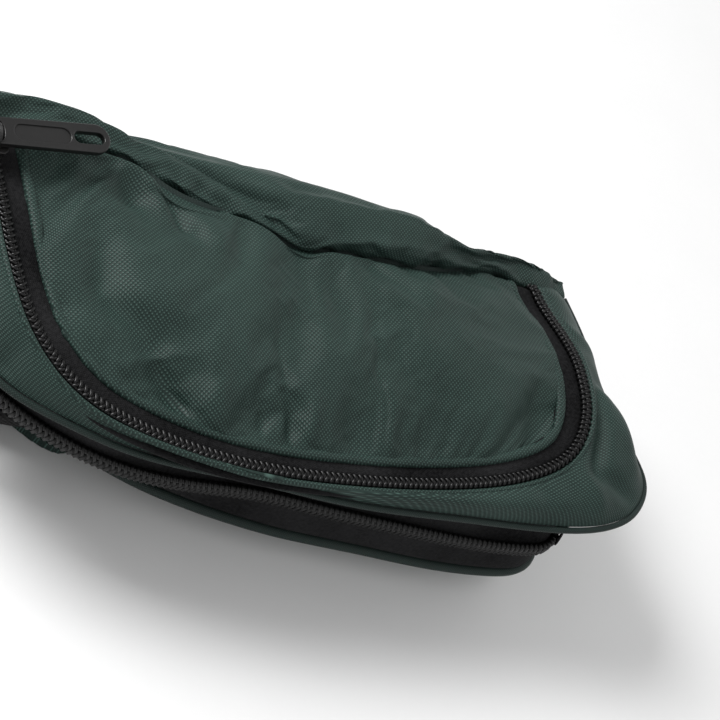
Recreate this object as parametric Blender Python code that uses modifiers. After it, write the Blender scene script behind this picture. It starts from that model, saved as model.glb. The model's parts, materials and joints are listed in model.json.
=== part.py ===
"""Waist pack lying on its back: panels, zips, flap, sliders, belt wings and buckle as separate solids.

Metres, +Z up. X runs along the belt, -Y is the main zip's side (the top when worn), +Y is the rolled
bottom gusset. The origin is under the middle of the pack, on the surface that it lies on.
"""

import math

import bmesh
import bpy
import numpy as np
from mathutils import Matrix, Vector

MM = 0.001
GAP = 0.3 * MM
FABRIC = 1.6 * MM
TAPE = 0.8 * MM

# Back panel, lying above the folded belt.
BELT_SPACE = 12.0 * MM
BACK_HALF_WIDTH = 98.0 * MM
BACK_NEAR = -44.0 * MM
BACK_FAR = 45.0 * MM
BACK_CORNER = 20.0 * MM
BACK_THICK = 4.0 * MM
BACK_PROUD = 0.4 * MM
FOAM_THICK = 2.0 * MM
FOAM_INSET = 7.0 * MM
PIPING_RADIUS = 1.5 * MM

# Front plane: it rises towards the rolled gusset, so the pack is a wedge.
FRONT_SLOPE = math.atan(0.2)
FRONT_ORIGIN = (0.0, -43.0 * MM, 47.0 * MM)

# Pocket zip: a U whose legs run up to the rolled gusset.
U_HALF_WIDTH = 94.0 * MM
U_CORNER = 34.0 * MM
U_LEG_END = 87.0 * MM
PARK_START = 77.6 * MM
CHAIN_HALF_GAP = 0.5 * MM
CHAIN_EDGE = 2.9 * MM
CHAIN_THICK = 2.3 * MM
INNER_TAPE_EDGE = 9.0 * MM
FLAP_INSET = 6.5 * MM
FLAP_END = 77.2 * MM
FLAP_ZIP_END = 74.2 * MM
FLAP_RISE = 7.0 * MM
DIVIDER_LEVEL = -11.0 * MM
DIVIDER_INSET = 6.0 * MM
TAPE_REACH = 3.0 * MM

# Front border: from the pocket zip's tape out to the piped edge, with flared near corners.
BORDER_START = 3.3 * MM
BORDER_LEG_START = 4.9 * MM
BORDER_NEAR = 3.6 * MM
BORDER_SIDE = 12.0 * MM
BORDER_LEFT = 13.94 * MM
BORDER_FLARE = 9.0 * MM
BORDER_TUCK = -3.0 * MM
BORDER_EDGE_Z = 42.6 * MM
BORDER_EDGE_RISE = 0.12

# Near wall: an arc round the left corner that runs on straight to the right. Angles are in degrees.
NEAR_CENTER = (-34.4 * MM, 36.2 * MM)
NEAR_RADIUS = 76.0 * MM
NEAR_TURN = 267.24

# Main zip in the near wall.
MAIN_END = 86.0 * MM
MAIN_START = 215.5
MAIN_SLIDER = 219.0
MAIN_PARK = 222.5
SIDE_GAP_ANGLE = 0.3
COIL_END = 77.4 * MM
CHAIN_Z = 31.0 * MM
TAPE_TOP = 41.4 * MM

# Side gussets and rolled bottom gusset.
SIDE_HALF_WIDTH = 98.0 * MM
SIDE_CORNER = 10.0 * MM
SIDE_FAR = 38.0 * MM
SIDE_DROP = 4.0 * MM
ROLL_HALF_WIDTH = 96.0 * MM
ROLL_ANCHOR = (52.0 * MM, 17.0 * MM)
ROLL_TAPER_FROM = 0.82
ROLL_TAPER = 0.4
ROLL_STATIONS = (-1.0, -0.95, -0.9, -0.82, -0.5, 0.0, 0.5, 0.82, 0.9, 0.95, 1.0)
ROLL_PROFILE = (
    (35.4, 56.0), (35.6, 60.0), (38.6, 64.0), (42.6, 68.2), (47.2, 70.2), (51.6, 67.6),
    (53.2, 61.0), (53.6, 50.0), (52.6, 38.0), (50.0, 26.0), (47.4, 17.2),
)

# Sliders and pullers.
SLIDER_LENGTH = 8.0 * MM
SLIDER_HALF_WIDTH = 4.3 * MM
SLIDER_PLATE = 1.2 * MM
POST_HALF = 0.2 * MM
POCKET_PULLER_LENGTH = 34.0 * MM
MAIN_PULLER_LENGTH = 27.0 * MM
PULLER_WIDTH = 8.0 * MM
PULLER_THICK = 2.0 * MM
PULLER_RECESS = 0.5 * MM
PIVOT_BAR = 0.75 * MM
BAIL_REACH = 3.3 * MM
BAIL_LEG = 1.4 * MM
BAIL_HALF = 1.2 * MM
BAIL_ROOM = 2.8 * MM
BAIL_RISE = 3.8 * MM

# Belt: wings folded under the back panel, webbing folded on them, buckle halves between them.
WING_ROOT = 101.5 * MM
WING_TIP = 44.0 * MM
WING_ROOT_HALF = 30.0 * MM
WING_TIP_HALF = 16.0 * MM
WING_THICK = 4.0 * MM
WEBBING_HALF = 12.5 * MM
WEBBING_THICK = 1.5 * MM
STACK_ROOT = 94.0 * MM
KEEPER_HALF_WIDTH = 5.0 * MM
KEEPER_WALL = 1.0 * MM
BUCKLE_HALF = 17.0 * MM
BUCKLE_HEIGHT = 9.0 * MM
BUCKLE_MOUTH = 6.0 * MM
SOCKET_HALF = 13.5 * MM
SOCKET_LOW = 2.0 * MM
SOCKET_HIGH = 7.0 * MM
SLOT_HALF = 13.0 * MM
BAR_SLOT = (32.0 * MM, 36.0 * MM)
MALE_SLOT = (35.0 * MM, 39.0 * MM)
MALE_NEAR = 29.0 * MM
PRONG_LOW = 2.6 * MM
PRONG_HIGH = 6.4 * MM
PRONG_SPREAD = 9.0 * MM
PRONG_OUTLINE = (
    (0.0, -1.6), (10.0, -1.4), (14.0, -1.2), (19.5, -1.0),
    (21.5, 1.0), (19.0, 3.4), (12.5, 3.8), (12.5, 2.2), (0.0, 1.6),
)

GREEN = (0.028, 0.052, 0.044)
DARK_GREEN = (0.020, 0.038, 0.032)
BLACK_TAPE = (0.010, 0.010, 0.011)
BLACK_NYLON = (0.015, 0.015, 0.016)
BLACK_METAL = (0.030, 0.028, 0.028)
FOAM_GREY = (0.35, 0.36, 0.36)


def clear_scene():
    """Empty the scene of whatever was in it."""
    for obj in list(bpy.data.objects):
        bpy.data.objects.remove(obj, do_unlink=True)


def new_collection(name, hidden=False):
    """A collection linked to the scene."""
    made = bpy.data.collections.new(name)
    bpy.context.scene.collection.children.link(made)
    made.hide_render = hidden
    return made


def material(name, color, roughness, metallic=0.0):
    """A plain Principled BSDF material."""
    made = bpy.data.materials.new(name)
    made.use_nodes = True
    shader = made.node_tree.nodes["Principled BSDF"]
    shader.inputs["Base Color"].default_value = (*color, 1.0)
    shader.inputs["Roughness"].default_value = roughness
    shader.inputs["Metallic"].default_value = metallic
    return made


def add_mesh(name, mesh, look, parent=None, matrix=None):
    """Link a mesh as the object of one sub-part."""
    obj = bpy.data.objects.new(name, mesh)
    PARTS.objects.link(obj)
    mesh.materials.clear()
    mesh.materials.append(look)
    if parent is not None:
        obj.parent = parent
    if matrix is not None:
        obj.matrix_basis = matrix
    return obj


def outward(mesh):
    """Weld doubled points and turn every face out."""
    work = bmesh.new()
    work.from_mesh(mesh)
    bmesh.ops.remove_doubles(work, verts=work.verts, dist=1e-6)
    bmesh.ops.recalc_face_normals(work, faces=work.faces)
    work.to_mesh(mesh)
    work.free()
    return mesh


def plate_mesh(name, outlines, low, high):
    """A flat plate between two levels: the first outline is its edge and the others are holes."""
    curve = bpy.data.curves.new(name, "CURVE")
    curve.dimensions = "2D"
    curve.fill_mode = "BOTH"
    curve.extrude = (high - low) / 2
    for outline in outlines:
        spline = curve.splines.new("POLY")
        spline.points.add(len(outline) - 1)
        flat = np.zeros((len(outline), 4))
        flat[:, :2] = outline
        spline.points.foreach_set("co", flat.ravel())
        spline.use_cyclic_u = True
    holder = bpy.data.objects.new(name + "_outline", curve)
    bpy.context.scene.collection.objects.link(holder)
    bpy.context.view_layer.update()
    depsgraph = bpy.context.evaluated_depsgraph_get()
    mesh = bpy.data.meshes.new_from_object(holder.evaluated_get(depsgraph))
    bpy.data.objects.remove(holder)
    mesh.name = name
    mesh.transform(Matrix.Translation((0.0, 0.0, (low + high) / 2)))
    return outward(mesh)


def sheet_mesh(name, rows):
    """An open surface through rows of points, all rows equally long."""
    count = len(rows[0])
    points = np.concatenate([np.asarray(row, float) for row in rows])
    corners = np.arange(len(rows) * count).reshape(len(rows), count)
    quads = np.stack([corners[:-1, :-1], corners[:-1, 1:], corners[1:, 1:], corners[1:, :-1]], axis=-1)
    mesh = bpy.data.meshes.new(name)
    mesh.from_pydata(points.tolist(), [], quads.reshape(-1, 4).tolist())
    return mesh


def solidify(obj, thickness, offset):
    """Give an open surface its thickness: offset -1 grows against the normals, 1 along them."""
    shell = obj.modifiers.new("thickness", "SOLIDIFY")
    shell.thickness = thickness
    shell.offset = offset
    shell.use_even_offset = False
    return obj


def tube(name, points, radius, look, cyclic=False, parent=None):
    """A round rod or piping along a path of points."""
    curve = bpy.data.curves.new(name, "CURVE")
    curve.dimensions = "3D"
    curve.bevel_depth = radius
    curve.bevel_resolution = 1
    curve.use_fill_caps = not cyclic
    spline = curve.splines.new("POLY")
    spline.points.add(len(points) - 1)
    flat = np.ones((len(points), 4))
    flat[:, :3] = points
    spline.points.foreach_set("co", flat.ravel())
    spline.use_cyclic_u = cyclic
    obj = bpy.data.objects.new(name, curve)
    PARTS.objects.link(obj)
    curve.materials.append(look)
    if parent is not None:
        obj.parent = parent
    return obj


def box_mesh(name, low, high):
    """A box between two opposite corners."""
    work = bmesh.new()
    bmesh.ops.create_cube(work, size=1.0)
    size = np.subtract(high, low)
    middle = np.add(high, low) / 2
    bmesh.ops.scale(work, vec=size, verts=work.verts)
    bmesh.ops.translate(work, vec=middle, verts=work.verts)
    mesh = bpy.data.meshes.new(name)
    work.to_mesh(mesh)
    work.free()
    return mesh


def cut(obj, mesh, name, operation="DIFFERENCE"):
    """Cut a mesh out of an object, or join it on, in the object's own space."""
    tool = bpy.data.objects.new(name, mesh)
    CUTTERS.objects.link(tool)
    tool.hide_render = True
    tool.display_type = "WIRE"
    tool.parent = obj.parent
    tool.matrix_basis = obj.matrix_basis
    boolean = obj.modifiers.new(name, "BOOLEAN")
    boolean.operation = operation
    boolean.object = tool
    return obj


def arc(center, radius, start, end, steps):
    """Points of an arc; angles in degrees, from +X towards +Y."""
    angles = np.radians(np.linspace(start, end, steps + 1))
    return np.stack([center[0] + radius * np.cos(angles), center[1] + radius * np.sin(angles)], axis=1)


def rounded_rectangle(half_width, near, far, radius, steps=6):
    """Outline of a rectangle with round corners, from the near left corner anticlockwise."""
    corners = (
        ((-half_width + radius, near + radius), 180, 270),
        ((half_width - radius, near + radius), 270, 360),
        ((half_width - radius, far - radius), 0, 90),
        ((-half_width + radius, far - radius), 90, 180),
    )
    return np.concatenate([arc(center, radius, start, end, steps) for center, start, end in corners])


def stadium(start, end, radius, steps=8):
    """Outline of a slot along X between the centres of its two round ends, at y = 0."""
    first = arc((end, 0.0), radius, -90, 90, steps)
    return np.concatenate([first, arc((start, 0.0), radius, 90, 270, steps)])


def u_path(offset, left_end, right_end, steps=10):
    """The pocket zip's U in the front plane, grown outwards by offset, from the left leg to the right."""
    half = U_HALF_WIDTH + offset
    radius = U_CORNER + offset
    center_y = U_CORNER
    left = arc((-half + radius, center_y), radius, 180, 270, steps)
    right = arc((half - radius, center_y), radius, 270, 360, steps)
    legs_left = np.linspace(left_end, center_y, 5)[:-1]
    legs_right = np.linspace(center_y, right_end, 5)[1:]
    start = np.stack([np.full(4, -half), legs_left], axis=1)
    finish = np.stack([np.full(4, half), legs_right], axis=1)
    run = np.linspace(-half + radius, half - radius, 9)[1:-1]
    bottom = np.stack([run, np.full(7, center_y - radius)], axis=1)
    return np.concatenate([start, left, bottom, right, finish])


def raised(flat, level):
    """Give 2-D points one height."""
    return np.column_stack([flat, np.full(len(flat), level)])


def to_world(points):
    """Front-plane points to world points."""
    return np.asarray([FRONT_MATRIX @ Matrix.Translation(point).translation for point in points])


def front_height(y):
    """World height of the front plane above a world y."""
    return FRONT_ORIGIN[2] + (y - FRONT_ORIGIN[1]) * math.tan(FRONT_SLOPE)


def near_direction(angle):
    """Outward direction of the near wall where its arc has this angle."""
    return np.array([math.cos(math.radians(angle)), math.sin(math.radians(angle))])


def near_path(reach, start, end_x):
    """Plan points of the near wall, grown by reach, from an angle on its arc to an x on its straight."""
    curve = arc(NEAR_CENTER, NEAR_RADIUS + reach, start, NEAR_TURN, 12)
    out = near_direction(NEAR_TURN)
    slope = -out[0] / out[1]
    run = np.linspace(curve[-1, 0], end_x, 6)[1:]
    straight = np.stack([run, curve[-1, 1] + (run - curve[-1, 0]) * slope], axis=1)
    return np.concatenate([curve, straight])


def near_band(name, reach, levels, start, end_x, growth, look):
    """A band of the near wall between two levels; growth is its thickness, inwards if negative."""
    path = near_path(reach, start, end_x)
    band = add_mesh(name, sheet_mesh(name, [raised(path, levels[0]), raised(path, levels[1])]), look)
    return solidify(band, abs(growth), math.copysign(1.0, growth))


def back_outline(reach):
    """Outline of the back panel, grown outwards by reach, anticlockwise from its left end."""
    radius = NEAR_RADIUS + BACK_PROUD + reach
    left = math.degrees(math.acos((BACK_HALF_WIDTH + reach + NEAR_CENTER[0]) / radius))
    near = arc(NEAR_CENTER, radius, 180 + left, NEAR_TURN, 10)
    out = near_direction(NEAR_TURN)
    corner = BACK_CORNER + reach
    center_x = BACK_HALF_WIDTH - BACK_CORNER
    root = near[-1] - out * corner
    center_y = root[1] + (center_x - root[0]) * -out[0] / out[1]
    far_y = BACK_FAR - BACK_CORNER
    return np.concatenate([
        near,
        arc((center_x, center_y), corner, NEAR_TURN, 360, 6),
        arc((center_x, far_y), corner, 0, 90, 6),
        arc((-center_x, far_y), corner, 90, 180, 6),
    ])


def border_edge():
    """World points of the piped front edge: close to the zip at the near side, flared at the near corners."""
    inner = u_path(BORDER_START, U_LEG_END, U_LEG_END)
    middle = u_path(0.0, U_LEG_END, U_LEG_END)
    direction = inner - middle
    direction /= np.linalg.norm(direction, axis=1)[:, None]
    side = np.abs(direction[:, 0])
    corner = 2.0 * side * np.abs(direction[:, 1])
    widest = np.where(direction[:, 0] > 0, BORDER_SIDE, BORDER_LEFT)
    flare = np.where(direction[:, 0] > 0, BORDER_FLARE, BORDER_TUCK)
    reach = BORDER_NEAR + (widest - BORDER_NEAR) * side**2 + flare * corner
    edge = to_world(raised(middle + direction * reach[:, None], 0.0))
    edge[:, 2] = BORDER_EDGE_Z + BORDER_EDGE_RISE * (edge[:, 1] - BACK_NEAR)
    begin = BORDER_START + (BORDER_LEG_START - BORDER_START) * side**2
    start = to_world(raised(middle + direction * begin[:, None], -TAPE))
    return start, edge, direction


def build_back(looks):
    """The padded back panel with its foam, piped edge and the back half of the main zip."""
    top = BELT_SPACE + BACK_THICK
    panel = plate_mesh("back_panel", [back_outline(0.0)], BELT_SPACE, top)
    add_mesh("back_panel", panel, looks["fabric"])
    foam_low = top + GAP
    foam = plate_mesh("back_foam", [back_outline(-FOAM_INSET)], foam_low, foam_low + FOAM_THICK)
    add_mesh("back_foam", foam, looks["foam"])
    edge = back_outline(PIPING_RADIUS + 1.5 * GAP)
    tube("back_piping", raised(edge, BELT_SPACE + BACK_THICK / 2), PIPING_RADIUS, looks["trim"], cyclic=True)
    tape_levels = (top + GAP, CHAIN_Z - CHAIN_HALF_GAP)
    near_band("main_tape_back", 0.0, tape_levels, MAIN_START, MAIN_END, -TAPE, looks["tape"])
    coil_levels = (CHAIN_Z - CHAIN_EDGE, CHAIN_Z - CHAIN_HALF_GAP)
    near_band("main_coil_back", GAP, coil_levels, MAIN_START, COIL_END, CHAIN_THICK, looks["coil"])


def build_main_front(looks):
    """The front half of the main zip, and the stops across both halves' right end."""
    low = CHAIN_Z + CHAIN_HALF_GAP
    near_band("main_tape_front", 0.0, (low, TAPE_TOP), MAIN_PARK, MAIN_END, -TAPE, looks["tape"])
    coil_levels = (low, CHAIN_Z + CHAIN_EDGE)
    near_band("main_coil_front", GAP, coil_levels, MAIN_PARK, COIL_END, CHAIN_THICK, looks["coil"])
    out = near_direction(NEAR_TURN)
    across = np.array([-out[1], out[0]])
    ends = near_path(GAP, MAIN_PARK, COIL_END + GAP)[-1]
    span = np.array([ends, ends + across * (MAIN_END - COIL_END)])
    rows = [raised(span, low), raised(span, CHAIN_Z + 2 * CHAIN_EDGE)]
    stop = add_mesh("main_end_stop", sheet_mesh("main_end_stop", rows), looks["fabric"])
    solidify(stop, TAPE, 1.0)


def side_gusset(name, path, looks):
    """A side wall along plan points that keep the outside on their right."""
    foot = raised(path, BELT_SPACE + BACK_THICK + GAP)
    head = raised(path, 0.0)
    lowest = BORDER_EDGE_Z + (path[:, 1] - BACK_NEAR) / 2
    head[:, 2] = np.minimum(front_height(path[:, 1]) - SIDE_DROP, lowest)
    wall = add_mesh(name, sheet_mesh(name, [foot, head]), looks["fabric"])
    return solidify(wall, FABRIC, -1.0)


def build_sides(looks):
    """The side walls, from the main zip's two ends to the rolled gusset."""
    radius = SIDE_CORNER
    start = near_path(0.0, MAIN_START, MAIN_END + GAP)[-1]
    corner = arc((SIDE_HALF_WIDTH - radius, start[1] + radius), radius, 270, 360, 4)
    far = np.array([[SIDE_HALF_WIDTH, y] for y in np.linspace(start[1] + radius, SIDE_FAR, 4)[1:]])
    side_gusset("side_gusset_right", np.concatenate([[start], corner[1:], far]), looks)
    left = math.degrees(math.acos((SIDE_HALF_WIDTH + NEAR_CENTER[0]) / NEAR_RADIUS))
    turn = arc(NEAR_CENTER, NEAR_RADIUS, 180 + left, MAIN_START - SIDE_GAP_ANGLE, 2)
    run = np.array([[-SIDE_HALF_WIDTH, y] for y in np.linspace(SIDE_FAR, turn[0, 1], 4)[:-1]])
    side_gusset("side_gusset_left", np.concatenate([run, turn]), looks)


def build_roll(looks):
    """The rolled bottom gusset: one profile along X that shrinks towards both ends."""
    profile = np.array(ROLL_PROFILE) * MM
    anchor = np.array(ROLL_ANCHOR)
    rows = []
    for x in ROLL_STATIONS:
        taper = np.clip((abs(x) - ROLL_TAPER_FROM) / (1.0 - ROLL_TAPER_FROM), 0.0, 1.0)
        ring = anchor + (profile - anchor) * (1.0 - ROLL_TAPER * taper**1.3)
        ring[:, 1] = np.maximum(ring[:, 1], ROLL_ANCHOR[1])
        rows.append(np.column_stack([np.full(len(ring), x * ROLL_HALF_WIDTH), ring]))
    roll = add_mesh("bottom_gusset", sheet_mesh("bottom_gusset", rows), looks["fabric"])
    return solidify(roll, FABRIC, 1.0)


def strip(name, inner, outer, low, thickness, look, ends):
    """A flat band of the front plane between two offsets of the pocket zip's U."""
    left_end, right_end = ends
    rows = [raised(u_path(inner, left_end, right_end), low), raised(u_path(outer, left_end, right_end), low)]
    band = add_mesh(name, sheet_mesh(name, rows), look, parent=FRONT)
    return solidify(band, thickness, -1.0 if outer > inner else 1.0)


def build_front(looks):
    """Border, piping, divider and the fixed half of the pocket zip."""
    full = (U_LEG_END, U_LEG_END)
    strip("pocket_tape_outer", CHAIN_HALF_GAP, TAPE_REACH, -TAPE, TAPE, looks["tape"], full)
    strip("pocket_coil_outer", CHAIN_HALF_GAP, CHAIN_EDGE, GAP, CHAIN_THICK, looks["coil"], full)
    start, edge, direction = border_edge()
    shoulder = start * 0.5 + edge * 0.5
    shoulder[:, 2] += 1.6 * MM * np.abs(direction[:, 0])
    border = add_mesh("front_border", sheet_mesh("front_border", [start, shoulder, edge]), looks["fabric"])
    solidify(border, FABRIC, -1.0)
    piping = edge.copy()
    piping[:, :2] += direction * (PIPING_RADIUS + GAP)
    piping[:, 2] -= PIPING_RADIUS + GAP
    tube("front_piping", piping, PIPING_RADIUS, looks["trim"])
    wall = back_outline(-DIVIDER_INSET)
    level_shift = DIVIDER_LEVEL * math.sin(FRONT_SLOPE)
    wall[:, 1] = np.minimum((wall[:, 1] - FRONT_ORIGIN[1] + level_shift) / math.cos(FRONT_SLOPE), FLAP_END)
    divider = plate_mesh("pocket_divider", [wall], DIVIDER_LEVEL, DIVIDER_LEVEL + TAPE)
    add_mesh("pocket_divider", divider, looks["lining"], parent=FRONT)
    stop = box_mesh(
        "pocket_end_stop",
        (U_HALF_WIDTH - CHAIN_EDGE, U_LEG_END + GAP, -TAPE),
        (U_HALF_WIDTH + CHAIN_EDGE, U_LEG_END + 2.0 * MM, CHAIN_THICK),
    )
    add_mesh("pocket_end_stop", stop, looks["fabric"], parent=FRONT)


def build_flap(looks):
    """The pocket's domed front panel with the moving half of its zip."""
    outline = u_path(-FLAP_INSET, FLAP_END, FLAP_END)
    far = np.linspace(outline[-1], outline[0], 12)[1:-1]
    ring = np.concatenate([outline, far])
    middle = np.array([0.0, (outline[:, 1].min() + FLAP_END) / 2])
    rows = []
    for reach in (1.0, 0.93, 0.8, 0.6, 0.35, 0.12):
        flat = middle + (ring - middle) * reach
        rows.append(raised(np.concatenate([flat, flat[:1]]), 2 * GAP + FLAP_RISE * (1.0 - reach**2) ** 2))
    panel = sheet_mesh("pocket_flap", rows)
    work = bmesh.new()
    work.from_mesh(panel)
    bmesh.ops.remove_doubles(work, verts=work.verts, dist=1e-6)
    open_edges = [edge for edge in work.edges if edge.is_boundary]
    near_middle = 0.3 * U_HALF_WIDTH
    inner = [edge for edge in open_edges if (edge.verts[0].co.xy - Vector(middle)).length < near_middle]
    bmesh.ops.contextual_create(work, geom=inner)
    bmesh.ops.recalc_face_normals(work, faces=work.faces)
    work.to_mesh(panel)
    work.free()
    flap = add_mesh("pocket_flap", panel, looks["fabric"], parent=FRONT)
    solidify(flap, FABRIC, 1.0)
    ends = (FLAP_ZIP_END, FLAP_ZIP_END)
    strip("pocket_tape_inner", -CHAIN_HALF_GAP, -INNER_TAPE_EDGE, -TAPE, TAPE, looks["tape"], ends)
    strip("pocket_coil_inner", -CHAIN_HALF_GAP, -CHAIN_EDGE, GAP, CHAIN_THICK, looks["coil"], ends)


def slider_object(name):
    """A zip slider along local X: two plates joined by a thin post, and a bail arched across the top.

    The chain lies at local heights from 0 to CHAIN_THICK.
    """
    half = SLIDER_LENGTH / 2
    top = CHAIN_THICK + GAP
    lower = -TAPE - 2 * GAP
    deck = top + SLIDER_PLATE
    plate = rounded_rectangle(half, -SLIDER_HALF_WIDTH, SLIDER_HALF_WIDTH, 2.0 * MM, steps=4)
    body = add_mesh(name, plate_mesh(name, [plate], top, deck), BLACK_LOOK)
    under = plate_mesh(name + "_under", [plate], lower - SLIDER_PLATE, lower)
    cut(body, under, name + "_under", "UNION")
    post_low = (-half + 1.0 * MM, -POST_HALF, lower - SLIDER_PLATE / 2)
    post_high = (-half + 4.0 * MM, POST_HALF, top + SLIDER_PLATE / 2)
    cut(body, box_mesh(name + "_post", post_low, post_high), name + "_post", "UNION")
    arch_side = np.array([(-BAIL_REACH, -SLIDER_PLATE / 2), (-BAIL_REACH, BAIL_RISE), (BAIL_REACH, BAIL_RISE),
                          (BAIL_REACH, -SLIDER_PLATE / 2), (BAIL_REACH - BAIL_LEG, -SLIDER_PLATE / 2),
                          (BAIL_REACH - BAIL_LEG, BAIL_ROOM), (-BAIL_REACH + BAIL_LEG, BAIL_ROOM),
                          (-BAIL_REACH + BAIL_LEG, -SLIDER_PLATE / 2)])
    arch = plate_mesh(name + "_bail", [arch_side], -BAIL_HALF, BAIL_HALF)
    stand = Matrix.Rotation(math.radians(90), 4, "Z") @ Matrix.Rotation(math.radians(90), 4, "X")
    arch.transform(Matrix.Translation((0.0, 0.0, deck)) @ stand)
    cut(body, arch, name + "_bail", "UNION")
    return body


def puller_object(name, length):
    """A flat puller along local X, turning about local Y: raised rim, recessed plate and an oval slot."""
    wide = PULLER_WIDTH / 2
    narrow = wide - 0.6 * MM
    tip = length - wide
    heel = narrow - PIVOT_BAR
    outline = np.concatenate([arc((tip, 0.0), wide, -90, 90, 10), arc((heel, 0.0), narrow, 95, 265, 8)])
    slot = stadium(tip - 4.4 * MM, tip + 0.6 * MM, 1.6 * MM)
    pivot = rounded_rectangle(1.85 * MM, -1.7 * MM, 1.7 * MM, 0.6 * MM, steps=2)
    pivot[:, 0] += PIVOT_BAR + 1.85 * MM
    mesh = plate_mesh(name, [outline, slot, pivot], -PULLER_THICK / 2, PULLER_THICK / 2)
    puller = add_mesh(name, mesh, BLACK_LOOK)
    for side in (-1, 1):
        level = sorted((side * (PULLER_THICK / 2 - PULLER_RECESS), side * PULLER_THICK))
        recess = plate_mesh(f"{name}_recess_{side}", [stadium(9.0 * MM, tip - 9.5 * MM, 2.3 * MM)], *level)
        cut(puller, recess, f"{name}_recess_{side}")
    return puller


def build_sliders():
    """Both sliders parked at their closed ends, each with its puller on the bail."""
    bail_level = CHAIN_THICK + GAP + SLIDER_PLATE + BAIL_ROOM / 2
    pocket_seat = Matrix.Translation((-U_HALF_WIDTH, PARK_START + GAP + SLIDER_LENGTH / 2, GAP))
    pivot = FRONT_MATRIX @ pocket_seat @ Matrix.Translation((0.0, 0.0, bail_level))
    quarter = Matrix.Rotation(math.radians(90), 4, "Z")
    place(slider_object("pocket_slider"), FRONT_MATRIX @ pocket_seat @ quarter)
    place(puller_object("pocket_puller", POCKET_PULLER_LENGTH), pivot)
    out = near_direction(MAIN_SLIDER)
    seat = np.array(NEAR_CENTER) + out * (NEAR_RADIUS + GAP)
    bail = seat + out * bail_level
    along = (-out[1], out[0])
    last = (0, 0, 0, 1)
    row_x = (along[0], 0, out[0], seat[0])
    row_y = (along[1], 0, out[1], seat[1])
    sliding = Matrix((row_x, row_y, (0, 1, 0, CHAIN_Z), last))
    row_x = (0, along[0], out[0], bail[0])
    row_y = (0, along[1], out[1], bail[1])
    hanging = Matrix((row_x, row_y, (-1, 0, 0, CHAIN_Z), last))
    place(slider_object("main_slider"), sliding)
    place(puller_object("main_puller", MAIN_PULLER_LENGTH), hanging)


def place(obj, matrix):
    """Stand an object and its cutters in one place."""
    obj.matrix_basis = matrix
    for modifier in obj.modifiers:
        if modifier.type == "BOOLEAN":
            modifier.object.matrix_basis = matrix


def wing(side_name, side, looks):
    """One belt wing folded under the back panel, with its folded webbing and elastic keeper."""
    outline = side * np.array([
        (WING_ROOT, -WING_ROOT_HALF), (WING_ROOT, WING_ROOT_HALF),
        (WING_TIP + 4.0 * MM, WING_TIP_HALF + 1.0 * MM), (WING_TIP, WING_TIP_HALF - 3.0 * MM),
        (WING_TIP, -WING_TIP_HALF + 3.0 * MM), (WING_TIP + 4.0 * MM, -WING_TIP_HALF - 1.0 * MM),
    ])
    name = f"wing_{side_name}"
    body = add_mesh(name, plate_mesh(name, [outline], 0.0, WING_THICK), looks["fabric"])
    edge = body.modifiers.new("soft_edge", "BEVEL")
    edge.width = 1.0 * MM
    edge.segments = 1
    layers = 3 if side < 0 else 4
    low = WING_THICK + GAP
    high = low + layers * WEBBING_THICK
    ends = sorted((side * STACK_ROOT, side * (WING_TIP + 1.0 * MM)))
    name = f"webbing_{side_name}"
    stack = box_mesh(name, (ends[0], -WEBBING_HALF, low), (ends[1], WEBBING_HALF, high))
    add_mesh(name, stack, looks["webbing"])
    middle = side * (STACK_ROOT + WING_TIP) / 2
    name = f"keeper_{side_name}"
    side_reach = WEBBING_HALF + GAP + KEEPER_WALL
    band = box_mesh(
        name,
        (middle - KEEPER_HALF_WIDTH, -side_reach, low),
        (middle + KEEPER_HALF_WIDTH, side_reach, high + GAP + KEEPER_WALL),
    )
    keeper = add_mesh(name, band, looks["webbing"])
    bore = box_mesh(
        name + "_bore",
        (middle - 2 * KEEPER_HALF_WIDTH, -WEBBING_HALF - GAP, low - KEEPER_WALL),
        (middle + 2 * KEEPER_HALF_WIDTH, WEBBING_HALF + GAP, high + GAP),
    )
    cut(keeper, bore, name + "_bore")


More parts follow.
